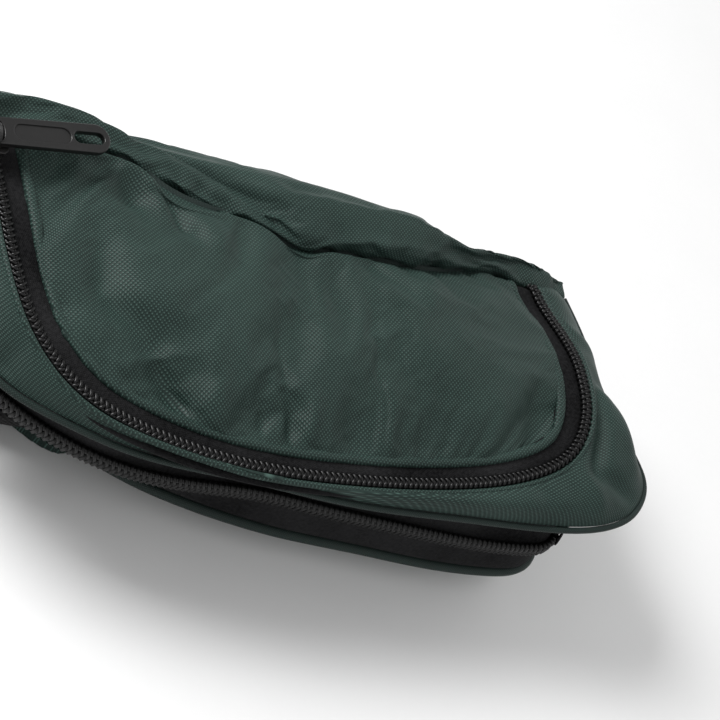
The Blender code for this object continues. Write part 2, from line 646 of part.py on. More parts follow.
def build_buckle():
    """The side-release buckle, open: the female half on the right wing, the male half on the left."""
    buckle_end = WING_TIP - GAP
    female = add_mesh(
        "buckle_female",
        box_mesh("buckle_female", (BUCKLE_MOUTH, -BUCKLE_HALF, 0.0), (buckle_end, BUCKLE_HALF, BUCKLE_HEIGHT)),
        BLACK_LOOK,
    )
    socket = box_mesh("socket", (0.0, -SOCKET_HALF, SOCKET_LOW), (28.0 * MM, SOCKET_HALF, SOCKET_HIGH))
    cut(female, socket, "socket")
    windows = box_mesh(
        "windows", (16.0 * MM, -2 * BUCKLE_HALF, SOCKET_LOW), (25.0 * MM, 2 * BUCKLE_HALF, SOCKET_HIGH)
    )
    cut(female, windows, "windows")
    slot_high = 2 * BUCKLE_HEIGHT
    bar = box_mesh("bar_slot", (BAR_SLOT[0], -SLOT_HALF, -BUCKLE_HEIGHT), (BAR_SLOT[1], SLOT_HALF, slot_high))
    cut(female, bar, "bar_slot")
    male = add_mesh(
        "buckle_male",
        box_mesh("buckle_male", (-buckle_end, -BUCKLE_HALF, 0.0), (-MALE_NEAR, BUCKLE_HALF, BUCKLE_HEIGHT)),
        BLACK_LOOK,
    )
    tongue = box_mesh("tongue", (-31.0 * MM, -2.0 * MM, PRONG_LOW), (-9.0 * MM, 2.0 * MM, PRONG_HIGH))
    cut(male, tongue, "tongue", "UNION")
    slot = box_mesh(
        "male_slot", (-MALE_SLOT[1], -SLOT_HALF, -BUCKLE_HEIGHT), (-MALE_SLOT[0], SLOT_HALF, slot_high)
    )
    cut(male, slot, "male_slot")
    for name, side in (("prong_near", -1), ("prong_far", 1)):
        outline = np.array(PRONG_OUTLINE) * MM
        outline[:, 1] *= side
        prong = add_mesh(name, plate_mesh(name, [outline], PRONG_LOW, PRONG_HIGH), BLACK_LOOK)
        prong.location = (-MALE_NEAR + GAP, side * PRONG_SPREAD, 0.0)


clear_scene()
PARTS = new_collection("waist_pack")
CUTTERS = new_collection("cutters", hidden=True)
FRONT_MATRIX = Matrix.Translation(FRONT_ORIGIN) @ Matrix.Rotation(FRONT_SLOPE, 4, "X")
FRONT = bpy.data.objects.new("front_plane", None)
PARTS.objects.link(FRONT)
FRONT.matrix_basis = FRONT_MATRIX
BLACK_LOOK = material("black_plastic", BLACK_METAL, 0.38)

LOOKS = {
    "fabric": material("green_nylon", GREEN, 0.62),
    "lining": material("dark_lining", DARK_GREEN, 0.7),
    "trim": material("green_piping", DARK_GREEN, 0.65),
    "tape": material("zip_tape", BLACK_TAPE, 0.95),
    "coil": material("zip_coil", BLACK_NYLON, 0.4),
    "webbing": material("webbing", BLACK_TAPE, 0.8),
    "foam": material("foam", FOAM_GREY, 0.9),
}
build_back(LOOKS)
build_main_front(LOOKS)
build_sides(LOOKS)
build_roll(LOOKS)
build_front(LOOKS)
build_flap(LOOKS)
build_sliders()
wing("left", -1, LOOKS)
wing("right", 1, LOOKS)
build_buckle()
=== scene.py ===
"""Waist pack lying on its back: woven cloth, toothed zips, enamel pullers and belt pieces on a fixed frame.

Metres, +Z up. X runs along the belt, -Y is the main zip's side and +Y is the rolled bottom gusset.
"""

import json
import logging
import math
from dataclasses import dataclass, field
from enum import Enum

import bmesh
import bpy
import numpy as np
from mathutils import Matrix, Vector

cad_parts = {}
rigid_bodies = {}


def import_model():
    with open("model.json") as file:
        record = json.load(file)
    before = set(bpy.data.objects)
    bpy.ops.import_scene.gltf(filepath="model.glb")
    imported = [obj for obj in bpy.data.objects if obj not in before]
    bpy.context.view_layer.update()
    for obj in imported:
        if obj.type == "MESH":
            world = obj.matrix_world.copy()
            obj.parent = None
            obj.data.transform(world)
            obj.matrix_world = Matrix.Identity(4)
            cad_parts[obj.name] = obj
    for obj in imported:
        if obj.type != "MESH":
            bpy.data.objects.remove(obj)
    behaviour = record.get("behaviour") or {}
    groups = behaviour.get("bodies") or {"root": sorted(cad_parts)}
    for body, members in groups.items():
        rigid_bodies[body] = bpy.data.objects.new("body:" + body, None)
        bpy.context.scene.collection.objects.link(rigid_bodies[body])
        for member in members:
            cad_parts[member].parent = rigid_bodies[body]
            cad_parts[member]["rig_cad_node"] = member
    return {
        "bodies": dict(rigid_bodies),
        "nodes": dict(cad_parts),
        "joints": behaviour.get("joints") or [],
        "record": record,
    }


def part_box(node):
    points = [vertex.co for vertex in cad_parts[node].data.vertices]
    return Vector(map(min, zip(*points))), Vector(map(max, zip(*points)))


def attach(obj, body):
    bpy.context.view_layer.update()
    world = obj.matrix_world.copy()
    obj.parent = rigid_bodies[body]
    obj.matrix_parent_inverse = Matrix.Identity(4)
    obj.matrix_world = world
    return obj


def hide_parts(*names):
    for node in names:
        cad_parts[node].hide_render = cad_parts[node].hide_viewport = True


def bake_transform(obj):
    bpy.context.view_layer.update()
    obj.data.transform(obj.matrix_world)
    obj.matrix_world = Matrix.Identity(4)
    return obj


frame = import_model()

log = logging.getLogger("waist_pack")
MM = 0.001
Array = np.ndarray


# ---------------------------------------------------------------- shape tools


def smooth(low: float, high: float, value: Array) -> Array:
    """Smoothstep: 0 below low, 1 above high, and 3t^2 - 2t^3 between.

    Args:
        low: where it leaves 0.
        high: where it reaches 1.
        value: the numbers to map.

    Returns:
        Numbers from 0 to 1.
    """
    t = np.clip((np.asarray(value, float) - low) / (high - low), 0.0, 1.0)
    return t * t * (3.0 - 2.0 * t)


def unit(vectors: Array) -> Array:
    """Vectors divided by their own length."""
    return vectors / np.maximum(np.linalg.norm(vectors, axis=-1, keepdims=True), 1e-12)


@dataclass(frozen=True)
class Guide:
    """A smooth line through a few points given in millimetres."""

    points: tuple[tuple[float, ...], ...]

    def sample(self, count: int) -> Array:
        """Points evenly spaced along a natural cubic spline over chord length.

        Args:
            count: how many points.

        Returns:
            count rows of coordinates, in metres.
        """
        knots = np.asarray(self.points, float) * MM
        chord = np.concatenate([[0.0], np.cumsum(np.linalg.norm(np.diff(knots, axis=0), axis=1))])
        fine = self._spline(chord, knots, np.linspace(0.0, chord[-1], 1200))
        travelled = np.concatenate([[0.0], np.cumsum(np.linalg.norm(np.diff(fine, axis=0), axis=1))])
        wanted = np.linspace(0.0, travelled[-1], count)
        return np.stack([np.interp(wanted, travelled, fine[:, k]) for k in range(fine.shape[1])], axis=1)

    @staticmethod
    def _spline(at: Array, values: Array, wanted: Array) -> Array:
        """Natural cubic spline: second derivatives from the tridiagonal system, then the cubic of each span.

        Args:
            at: the knots' places along the line.
            values: the knots' coordinates.
            wanted: places to evaluate.

        Returns:
            Coordinates at the wanted places.
        """
        count = len(at)
        step = np.diff(at)
        system = np.eye(count)
        right = np.zeros_like(values)
        inner = np.arange(1, count - 1)
        system[inner, inner - 1] = step[:-1]
        system[inner, inner] = 2.0 * (step[:-1] + step[1:])
        system[inner, inner + 1] = step[1:]
        slope = np.diff(values, axis=0) / step[:, None]
        right[inner] = 6.0 * (slope[1:] - slope[:-1])
        bend = np.linalg.solve(system, right)
        span = np.clip(np.searchsorted(at, wanted) - 1, 0, count - 2)
        h = step[span][:, None]
        a = (at[span + 1] - wanted)[:, None] / h
        b = 1.0 - a
        curve = a * values[span] + b * values[span + 1]
        return curve + ((a**3 - a) * bend[span] + (b**3 - b) * bend[span + 1]) * h**2 / 6.0


@dataclass(frozen=True)
class Path:
    """A line in space with a frame at each point: along it, out to one side, and up off the surface."""

    points: Array
    along: Array
    out: Array
    up: Array

    @classmethod
    def on_surface(cls, points: Array, up: Array) -> "Path":
        """Frames with out = along x up, so that out points to the right of the travel.

        Args:
            points: the line's points.
            up: the surface's direction at each point.

        Returns:
            The path.
        """
        along = unit(np.gradient(points, axis=0))
        out = unit(np.cross(along, up))
        return cls(points, along, out, unit(np.cross(out, along)))

    def ring(self, out: Array | float, up: Array | float) -> Array:
        """The line moved sideways and up by the given distances."""
        out = np.broadcast_to(np.asarray(out, float), len(self.points))[:, None]
        up = np.broadcast_to(np.asarray(up, float), len(self.points))[:, None]
        return self.points + self.out * out + self.up * up

    def sweep(self, profile: Array) -> Array:
        """A grid of points: each (out, up) pair of the profile carried along the line."""
        flat = np.asarray(profile, float)
        return (
            self.points[:, None]
            + self.out[:, None] * flat[None, :, :1]
            + self.up[:, None] * flat[None, :, 1:]
        )

    def lengths(self) -> Array:
        """Distance travelled at each point."""
        return np.concatenate([[0.0], np.cumsum(np.linalg.norm(np.diff(self.points, axis=0), axis=1))])


def grid_faces(rows: int, columns: int, wrap: bool = False) -> Array:
    """Quads of a grid numbered row by row; wrap joins the last column to the first.

    Args:
        rows: rows of points.
        columns: points in each row.
        wrap: whether the rows are rings.

    Returns:
        One row of four corner numbers per face.
    """
    index = np.arange(rows * columns).reshape(rows, columns)
    if wrap:
        index = np.concatenate([index, index[:, :1]], axis=1)
    return np.stack([index[:-1, :-1], index[:-1, 1:], index[1:, 1:], index[1:, :-1]], axis=-1).reshape(-1, 4)


def mesh_object(name: str, points: Array, faces: Array | list, uv: Array | None = None) -> bpy.types.Object:
    """A smooth-shaded mesh object at the origin.

    Args:
        name: the piece's name.
        points: vertices in the shared frame.
        faces: corner numbers.
        uv: cloth coordinates of each vertex, in metres.

    Returns:
        The linked object.
    """
    mesh = bpy.data.meshes.new(name)
    flat = np.asarray(points, float).reshape(-1, 3)
    polygons = faces.tolist() if isinstance(faces, np.ndarray) else faces
    mesh.from_pydata(flat.tolist(), [], polygons)
    if uv is not None:
        corners = np.zeros(len(mesh.loops), np.int32)
        mesh.loops.foreach_get("vertex_index", corners)
        layer = mesh.uv_layers.new(name="cloth")
        layer.data.foreach_set("uv", np.asarray(uv, np.float32).reshape(-1, 2)[corners].ravel())
    mesh.polygons.foreach_set("use_smooth", np.ones(len(mesh.polygons), bool))
    mesh.update()
    obj = bpy.data.objects.new(name, mesh)
    bpy.context.scene.collection.objects.link(obj)
    return obj


def turn_out(obj: bpy.types.Object, toward: tuple[float, float, float] | None = None) -> bpy.types.Object:
    """Merge doubled points and turn the faces out, or an open sheet towards a direction.

    Args:
        obj: the piece.
        toward: the side that an open sheet should face.

    Returns:
        The same object.
    """
    work = bmesh.new()
    work.from_mesh(obj.data)
    bmesh.ops.remove_doubles(work, verts=work.verts, dist=1e-6)
    bmesh.ops.recalc_face_normals(work, faces=work.faces)
    if toward is not None:
        total = sum((f.normal * f.calc_area() for f in work.faces), Vector())
        if total.dot(Vector(toward)) < 0.0:
            bmesh.ops.reverse_faces(work, faces=work.faces)
    work.to_mesh(obj.data)
    work.free()
    return obj


def sheet_object(name: str, grid: Array, toward: tuple[float, float, float], uv: Array | None = None):
    """An open sheet from a grid of points, facing one way; without uv the cloth runs by distance."""
    if uv is None:
        across = np.concatenate(
            [np.zeros((grid.shape[0], 1)), np.cumsum(np.linalg.norm(np.diff(grid, axis=1), axis=2), axis=1)],
            axis=1,
        )
        middle = grid[:, grid.shape[1] // 2]
        down = np.concatenate([[0.0], np.cumsum(np.linalg.norm(np.diff(middle, axis=0), axis=1))])
        uv = np.stack([np.broadcast_to(down[:, None], across.shape), across], axis=-1)
    obj = mesh_object(name, grid, grid_faces(*grid.shape[:2]), uv)
    return turn_out(obj, toward)


def tube_object(
    name: str, path: Path, radius: float, sides: int = 10, capped: bool = True
) -> bpy.types.Object:
    """A round cord along a path: point = centre + r cos(a) out + r sin(a) up."""
    angle = np.linspace(0.0, 2.0 * math.pi, sides, endpoint=False)
    grid = path.sweep(np.stack([np.cos(angle), np.sin(angle)], axis=1) * radius)
    faces = grid_faces(len(path.points), sides, wrap=True).tolist()
    if capped:
        faces += [list(range(sides)), list(range(len(path.points) * sides - sides, len(path.points) * sides))]
    around = np.broadcast_to((angle * radius)[None, :], grid.shape[:2])
    down = np.broadcast_to(path.lengths()[:, None], grid.shape[:2])
    return turn_out(mesh_object(name, grid, faces, np.stack([down, around], axis=-1)))


def thicken(obj: bpy.types.Object, thickness: float, offset: float = -1.0) -> bpy.types.Object:
    """Give a sheet its thickness behind its face."""
    shell = obj.modifiers.new("thickness", "SOLIDIFY")
    shell.thickness = thickness
    shell.offset = offset
    return obj


def refine(obj: bpy.types.Object, levels: int = 1) -> bpy.types.Object:
    """Round a mesh by subdivision."""
    rounder = obj.modifiers.new("round", "SUBSURF")
    rounder.levels = levels
    rounder.render_levels = levels
    return obj


def soften_edges(obj: bpy.types.Object, width: float, segments: int = 2) -> bpy.types.Object:
    """Weld a mesh's loose triangles and round its sharp edges."""
    weld = obj.modifiers.new("weld", "WELD")
    weld.merge_threshold = 1e-5
    bevel = obj.modifiers.new("edges", "BEVEL")
    bevel.width = width
    bevel.segments = segments
    bevel.limit_method = "ANGLE"
    bevel.angle_limit = math.radians(35)
    return obj


def joined(name: str, objects: list[bpy.types.Object]) -> bpy.types.Object:
    """Several mesh objects as one piece, modifiers applied."""
    graph = bpy.context.evaluated_depsgraph_get()
    work = bmesh.new()
    for obj in objects:
        part = bpy.data.meshes.new_from_object(obj.evaluated_get(graph))
        part.transform(obj.matrix_world)
        work.from_mesh(part)
        bpy.data.meshes.remove(part)
    mesh = bpy.data.meshes.new(name)
    work.to_mesh(mesh)
    work.free()
    for obj in objects:
        bpy.data.objects.remove(obj, do_unlink=True)
    made = bpy.data.objects.new(name, mesh)
    bpy.context.scene.collection.objects.link(made)
    return made


def plate_object(name: str, outlines: list[Array], low: float, high: float, bevel: float) -> bpy.types.Object:
    """A flat plate with holes and rounded edges, from a filled outline between two levels.

    Args:
        name: the piece's name.
        outlines: the edge first, then the holes.
        low: lower level.
        high: upper level.
        bevel: radius of the edges.

    Returns:
        A mesh object.
    """
    curve = bpy.data.curves.new(name, "CURVE")
    curve.dimensions = "2D"
    curve.fill_mode = "BOTH"
    curve.extrude = (high - low) / 2 - bevel
    curve.bevel_depth = bevel
    curve.bevel_resolution = 2
    curve.offset = -bevel
    for outline in outlines:
        spline = curve.splines.new("POLY")
        spline.points.add(len(outline) - 1)
        flat = np.zeros((len(outline), 4))
        flat[:, :2] = outline
        spline.points.foreach_set("co", flat.ravel())
        spline.use_cyclic_u = True
    holder = bpy.data.objects.new(name + "_outline", curve)
    bpy.context.scene.collection.objects.link(holder)
    bpy.context.view_layer.update()
    mesh = bpy.data.meshes.new_from_object(holder.evaluated_get(bpy.context.evaluated_depsgraph_get()))
    bpy.data.objects.remove(holder)
    mesh.transform(Matrix.Translation((0.0, 0.0, (low + high) / 2)))
    obj = bpy.data.objects.new(name, mesh)
    bpy.context.scene.collection.objects.link(obj)
    return turn_out(obj)


def arc(center: tuple[float, float], radius: float, start: float, end: float, steps: int) -> Array:
    """Points of a circular arc, angles in degrees from +X towards +Y."""
    angles = np.radians(np.linspace(start, end, steps + 1))
    return np.stack([center[0] + radius * np.cos(angles), center[1] + radius * np.sin(angles)], axis=1)


def stadium(start: float, end: float, radius: float, steps: int = 10) -> Array:
    """A slot's outline between the centres of its two round ends on the X axis."""
    return np.concatenate(
        [arc((end, 0.0), radius, -90, 90, steps), arc((start, 0.0), radius, 90, 270, steps)]
    )


# ---------------------------------------------------------------- cloth


@dataclass(frozen=True)
class Fold:
    """A soft ridge (positive height) or dent (negative) along a short straight line on the cloth, in mm."""

    start: tuple[float, float]
    end: tuple[float, float]
    width: float
    height: float

    def lift(self, plan: Array) -> Array:
        """height * exp(-(distance from the line / width)^2).

        Args:
            plan: places on the cloth, in metres.

        Returns:
            How far each place moves, in metres.
        """
        a = np.asarray(self.start) * MM
        d = np.asarray(self.end) * MM - a
        t = np.clip(((plan - a) @ d) / (d @ d), 0.0, 1.0)
        away = np.linalg.norm(plan - a - t[..., None] * d, axis=-1)
        fade = 0.35 + 0.65 * np.sin(math.pi * np.clip(t, 0.08, 0.92))
        return self.height * MM * fade * np.exp(-((away / (self.width * MM)) ** 2))


@dataclass(frozen=True)
class ClothSettle:
    """Settings of one cloth simulation: air pressure behind the cloth, and spare cloth for wrinkles."""

    pressure: float = 4.0
    spare: float = 0.03
    frames: int = 20
    cap: float = 6.0 * MM
    bending: float = 0.6

    def run(self, obj: bpy.types.Object, held: Array) -> bpy.types.Object:
        """Step the simulation, cap how far each point moves, and keep the result as the mesh.

        Args:
            obj: an open cloth mesh.
            held: one number per vertex, 1 where the seam holds it.

        Returns:
            The same object with its cloth settled.
        """
        group = obj.vertex_groups.new(name="held")
        group.add([int(i) for i in np.nonzero(held > 0.5)[0]], 1.0, "REPLACE")
        rest = vertex_array(obj.data)
        cloth = obj.modifiers.new("settle", "CLOTH")
        cloth.settings.quality = 6
        cloth.settings.mass = 0.15
        cloth.settings.tension_stiffness = 12.0
        cloth.settings.compression_stiffness = 12.0
        cloth.settings.shear_stiffness = 4.0
        cloth.settings.bending_stiffness = self.bending
        cloth.settings.air_damping = 4.0
        cloth.settings.vertex_group_mass = "held"
        cloth.settings.shrink_min = -self.spare
        cloth.settings.use_pressure = True
        cloth.settings.uniform_pressure_force = self.pressure
        cloth.settings.effector_weights.gravity = 0.0
        cloth.collision_settings.use_collision = False
        cloth.point_cache.frame_end = self.frames + 1
        scene = bpy.context.scene
        for step in range(1, self.frames + 1):
            scene.frame_set(step)
        settled = vertex_array(obj.evaluated_get(bpy.context.evaluated_depsgraph_get()).data)
        obj.modifiers.remove(cloth)
        scene.frame_set(1)
        move = settled - rest
        length = np.linalg.norm(move, axis=1, keepdims=True)
        move *= np.minimum(1.0, self.cap / np.maximum(length, 1e-9))
        obj.data.vertices.foreach_set("co", (rest + move).astype(np.float32).ravel())
        obj.data.update()
        log.info("%s settled, largest move %.1f mm", obj.name, float(length.max()) / MM)
        return obj


def vertex_array(mesh: bpy.types.Mesh) -> Array:
    """A mesh's vertices as rows."""
    flat = np.zeros(len(mesh.vertices) * 3, np.float32)
    mesh.vertices.foreach_get("co", flat)
    return flat.reshape(-1, 3).astype(float)


def push(obj: bpy.types.Object, amount: Array) -> None:
    """Move each vertex along its normal by its own amount."""
    normals = np.zeros(len(obj.data.vertices) * 3, np.float32)
    obj.data.vertices.foreach_get("normal", normals)
    moved = vertex_array(obj.data) + normals.reshape(-1, 3) * amount[:, None]
    obj.data.vertices.foreach_set("co", moved.astype(np.float32).ravel())
    obj.data.update()


# ---------------------------------------------------------------- finishes


class Slot(str, Enum):
    """The record's material slots."""

    FABRIC = "green_fabric"
    TRIM = "green_trim"
    LINING = "lining"
    FOAM = "foam"
    TAPE = "zip_tape"
    WEBBING = "webbing"
    COIL = "zip_coil"
    PLASTIC = "buckle_plastic"
    METAL = "black_metal"


class Follow(Enum):
    """What a pattern follows: the cloth's own coordinates, or the object's space."""

    CLOTH = "cloth"
    SPACE = "space"


def group_tree(name: str, inputs: list[tuple[str, str, float]], outputs: list[tuple[str, str]]):
    """A shader node group with its sockets, and its two end nodes.

    Args:
        name: the group's name.
        inputs: (name, kind, default) of each input.
        outputs: (name, kind) of each output.

    Returns:
        The tree, its input node and its output node.
    """
    tree = bpy.data.node_groups.new(name, "ShaderNodeTree")
    for label, kind, default in inputs:
        socket = tree.interface.new_socket(name=label, in_out="INPUT", socket_type=kind)
        if kind == "NodeSocketFloat":
            socket.default_value = default
    for label, kind in outputs:
        tree.interface.new_socket(name=label, in_out="OUTPUT", socket_type=kind)
    return tree, tree.nodes.new("NodeGroupInput"), tree.nodes.new("NodeGroupOutput")


def math_node(tree, operation: str, first, second=None, clamp: bool = False):
    """A Math node fed by sockets or numbers; its output socket."""
    node = tree.nodes.new("ShaderNodeMath")
    node.operation = operation
    node.use_clamp = clamp
    for socket, value in zip(node.inputs, (first, second)):
        if value is None:
            continue
        if isinstance(value, (int, float)):
            socket.default_value = value
        else:
            tree.links.new(value, socket)
    return node.outputs[0]


def weave_group() -> bpy.types.ShaderNodeTree:
    """Plain weave: height = sin(pi u / warp) sin(pi v / weft), raised yarns alternating like a chessboard;
    the yarn crowns above 0.25 also come out as a painted highlight.
    """
    tree, start, end = group_tree(
        "weave",
        [
            ("Vector", "NodeSocketVector", 0.0),
            ("Warp", "NodeSocketFloat", 0.0006),
            ("Weft", "NodeSocketFloat", 0.0006),
        ],
        [("Height", "NodeSocketFloat"), ("Yarn Highlight", "NodeSocketFloat")],
    )
    wobble = tree.nodes.new("ShaderNodeTexNoise")
    wobble.inputs["Scale"].default_value = 120.0
    tree.links.new(start.outputs["Vector"], wobble.inputs["Vector"])
    shift = tree.nodes.new("ShaderNodeVectorMath")
    shift.operation = "MULTIPLY_ADD"
    shift.inputs[1].default_value = (0.0006, 0.0006, 0.0006)
    tree.links.new(wobble.outputs["Color"], shift.inputs[0])
    tree.links.new(start.outputs["Vector"], shift.inputs[2])
    parts = tree.nodes.new("ShaderNodeSeparateXYZ")
    tree.links.new(shift.outputs[0], parts.inputs[0])
    across = math_node(tree, "DIVIDE", parts.outputs[0], start.outputs["Warp"])
    down = math_node(tree, "DIVIDE", parts.outputs[1], start.outputs["Weft"])
    first = math_node(tree, "SINE", math_node(tree, "MULTIPLY", across, math.pi))
    second = math_node(tree, "SINE", math_node(tree, "MULTIPLY", down, math.pi))
    height = math_node(tree, "MULTIPLY", first, second)
    tree.links.new(height, end.inputs["Height"])
    # Painted highlight: the yarn crowns above 0.25, added to the base colour as light glinting on the raised
    # yarns.
    tree.links.new(math_node(tree, "SUBTRACT", height, 0.25, clamp=True), end.inputs["Yarn Highlight"])
    return tree


def mottle_group() -> bpy.types.ShaderNodeTree:
    """Uneven shade: a broad noise and a fine one, mixed two to one."""
    tree, start, end = group_tree(
        "mottle",
        [
            ("Vector", "NodeSocketVector", 0.0),
            ("Broad", "NodeSocketFloat", 30.0),
            ("Fine", "NodeSocketFloat", 900.0),
        ],
        [("Value", "NodeSocketFloat")],
    )
    sums = []
    for label, weight in (("Broad", 0.66), ("Fine", 0.34)):
        noise = tree.nodes.new("ShaderNodeTexNoise")
        noise.inputs["Detail"].default_value = 3.0
        tree.links.new(start.outputs["Vector"], noise.inputs["Vector"])
        tree.links.new(start.outputs[label], noise.inputs["Scale"])
        sums.append(math_node(tree, "MULTIPLY", noise.outputs["Fac"], weight))
    tree.links.new(math_node(tree, "ADD", *sums), end.inputs["Value"])
    return tree


GROUPS: dict[str, bpy.types.ShaderNodeTree] = {}


def shared_group(name: str) -> bpy.types.ShaderNodeTree:
    """One of the shared node groups, built on first use."""
    makers = {"weave": weave_group, "mottle": mottle_group}
    if name not in GROUPS:
        GROUPS[name] = makers[name]()
    return GROUPS[name]


@dataclass(frozen=True)
class Finish:
    """A surface made of yarn, felt, nylon or paint: two shades, a weave or grain, a painted highlight on the
    raised yarns, roughness and relief.
    """

    name: str
    dark: tuple[float, float, float]
    light: tuple[float, float, float]
    follow: Follow = Follow.CLOTH
    warp: float = 0.6 * MM
    weft: float = 0.6 * MM
    # How much the raised yarn crowns are lightened in colour: a painted highlight.
    yarn_highlight: float = 0.0
    yarn_relief: float = 0.0
    grain: float = 900.0
    grain_relief: float = 0.0
    roughness: tuple[float, float] = (0.5, 0.6)
    sheen: float = 0.0
    sheen_tint: tuple[float, float, float] = (0.6, 0.75, 0.7)
    coat: float = 0.0
    metallic: float = 0.0
    specular: float = 0.5
    mottle: float = 0.5
    ramp: tuple[float, float] = (0.15, 0.95)

    def make(self) -> bpy.types.Material:
        """Colour = dark to light by mottle plus a painted highlight on the yarn crowns; roughness by mottle;
        relief from weave and grain.

        Returns:
            The material.
        """
        made = bpy.data.materials.new(self.name)
        made.use_nodes = True
        tree = made.node_tree
        shader = tree.nodes["Principled BSDF"]
        shader.inputs["Metallic"].default_value = self.metallic
        shader.inputs["Specular IOR Level"].default_value = self.specular
        shader.inputs["Sheen Weight"].default_value = self.sheen
        shader.inputs["Sheen Roughness"].default_value = 0.4
        shader.inputs["Sheen Tint"].default_value = (*self.sheen_tint, 1.0)
        shader.inputs["Coat Weight"].default_value = self.coat
        shader.inputs["Coat Roughness"].default_value = 0.18
        coordinates = tree.nodes.new("ShaderNodeTexCoord")
        space = coordinates.outputs["Object"]
        if self.follow is Follow.CLOTH:
            layer = tree.nodes.new("ShaderNodeUVMap")
            layer.uv_map = "cloth"
            cloth = layer.outputs[0]
        else:
            cloth = space
        mottle = tree.nodes.new("ShaderNodeGroup")
        mottle.node_tree = shared_group("mottle")
        mottle.inputs["Broad"].default_value = 28.0
        mottle.inputs["Fine"].default_value = self.grain
        tree.links.new(space, mottle.inputs["Vector"])
        shade = math_node(tree, "MULTIPLY", mottle.outputs["Value"], self.mottle)
        height = math_node(tree, "MULTIPLY", mottle.outputs["Value"], self.grain_relief)
        if self.yarn_highlight or self.yarn_relief:
            weave = tree.nodes.new("ShaderNodeGroup")
            weave.node_tree = shared_group("weave")
            weave.inputs["Warp"].default_value = self.warp
            weave.inputs["Weft"].default_value = self.weft
            tree.links.new(cloth, weave.inputs["Vector"])
            # Painted highlight: the yarn crowns lighten the base colour where light would glint on them.
            yarn_highlight = math_node(tree, "MULTIPLY", weave.outputs["Yarn Highlight"], self.yarn_highlight)
            shade = math_node(tree, "ADD", shade, yarn_highlight, True)
            relief = math_node(tree, "MULTIPLY", weave.outputs["Height"], self.yarn_relief)
            height = math_node(tree, "ADD", height, relief)
        ramp = tree.nodes.new("ShaderNodeValToRGB")
        ramp.color_ramp.elements[0].position = self.ramp[0]
        ramp.color_ramp.elements[0].color = (*self.dark, 1.0)
        ramp.color_ramp.elements[1].position = self.ramp[1]
        ramp.color_ramp.elements[1].color = (*self.light, 1.0)
        tree.links.new(shade, ramp.inputs["Fac"])
        tree.links.new(ramp.outputs["Color"], shader.inputs["Base Color"])
        rough = tree.nodes.new("ShaderNodeMapRange")
        rough.inputs["To Min"].default_value, rough.inputs["To Max"].default_value = self.roughness
        tree.links.new(mottle.outputs["Value"], rough.inputs["Value"])
        tree.links.new(rough.outputs["Result"], shader.inputs["Roughness"])
        bump = tree.nodes.new("ShaderNodeBump")
        bump.inputs["Distance"].default_value = 1.0
        tree.links.new(height, bump.inputs["Height"])
        tree.links.new(bump.outputs["Normal"], shader.inputs["Normal"])
        return made


# The yarn setting of each cloth is a painted highlight on its raised yarns.
FINISHES: dict[Slot, Finish] = {
    Slot.FABRIC: Finish(
        "woven_green_nylon", (0.0055, 0.0145, 0.0120), (0.058, 0.104, 0.089), warp=0.585 * MM, weft=0.6 * MM,
        yarn_highlight=1.0, yarn_relief=0.00007, grain_relief=0.00004, roughness=(0.46, 0.60), sheen=0.05,
        specular=0.22,
    ),
    Slot.TRIM: Finish(
        "green_binding", (0.005, 0.011, 0.0095), (0.030, 0.052, 0.045), warp=0.4 * MM, weft=0.4 * MM,
        yarn_highlight=0.8, yarn_relief=0.00005, grain_relief=0.00004, roughness=(0.5, 0.65), sheen=0.06, specular=0.25,
    ),
    Slot.LINING: Finish(
        "coated_lining", (0.010, 0.018, 0.016), (0.04, 0.06, 0.055), warp=0.35 * MM, weft=0.35 * MM,
        yarn_highlight=0.6, yarn_relief=0.00003, roughness=(0.6, 0.75), specular=0.25,
    ),
    Slot.FOAM: Finish(
        "open_foam", (0.16, 0.165, 0.165), (0.45, 0.46, 0.46), follow=Follow.SPACE, grain=2200.0,
        grain_relief=0.0006, roughness=(0.85, 0.95),
    ),
    Slot.TAPE: Finish(
        "felted_zip_tape", (0.0015, 0.0015, 0.0018), (0.022, 0.022, 0.023), warp=0.5 * MM, weft=0.3 * MM,
        yarn_highlight=0.2, yarn_relief=0.00002, grain=1100.0, grain_relief=0.0012, roughness=(0.8, 0.95),
        sheen=0.03, sheen_tint=(0.5, 0.5, 0.5), specular=0.08, mottle=1.0, ramp=(0.36, 0.68),
    ),
    Slot.WEBBING: Finish(
        "ribbed_webbing", (0.006, 0.006, 0.006), (0.035, 0.035, 0.037), warp=0.9 * MM, weft=0.5 * MM,
        yarn_highlight=0.8, yarn_relief=0.00012, grain_relief=0.00005, roughness=(0.6, 0.75),
        sheen=0.08, sheen_tint=(0.5, 0.5, 0.5), specular=0.25,
    ),
    Slot.COIL: Finish(
        "drawn_nylon_coil", (0.002, 0.002, 0.0022), (0.008, 0.008, 0.0085), follow=Follow.SPACE, grain=1800.0,
        grain_relief=0.00003, roughness=(0.3, 0.45), specular=0.32,
    ),
    Slot.PLASTIC: Finish(
        "moulded_black_plastic", (0.008, 0.008, 0.0085), (0.022, 0.022, 0.023), follow=Follow.SPACE,
        grain=2600.0,
        grain_relief=0.00008, roughness=(0.36, 0.5),
    ),
    Slot.METAL: Finish(
        "black_enamel", (0.006, 0.006, 0.006), (0.022, 0.021, 0.021), follow=Follow.SPACE, grain=700.0,
        grain_relief=0.00005, roughness=(0.30, 0.48), coat=0.2, specular=0.4,
    ),
}
MADE: dict[Slot, bpy.types.Material] = {}


def dress(obj: bpy.types.Object, slot: Slot) -> bpy.types.Object:
    """Give a piece its finish and its slot.

    Args:
        obj: a new piece or a CAD node.
        slot: one of the record's slots.

    Returns:
        The same object.
    """
    if slot not in MADE:
        MADE[slot] = FINISHES[slot].make()
    obj.data.materials.clear()
    obj.data.materials.append(MADE[slot])
    return obj


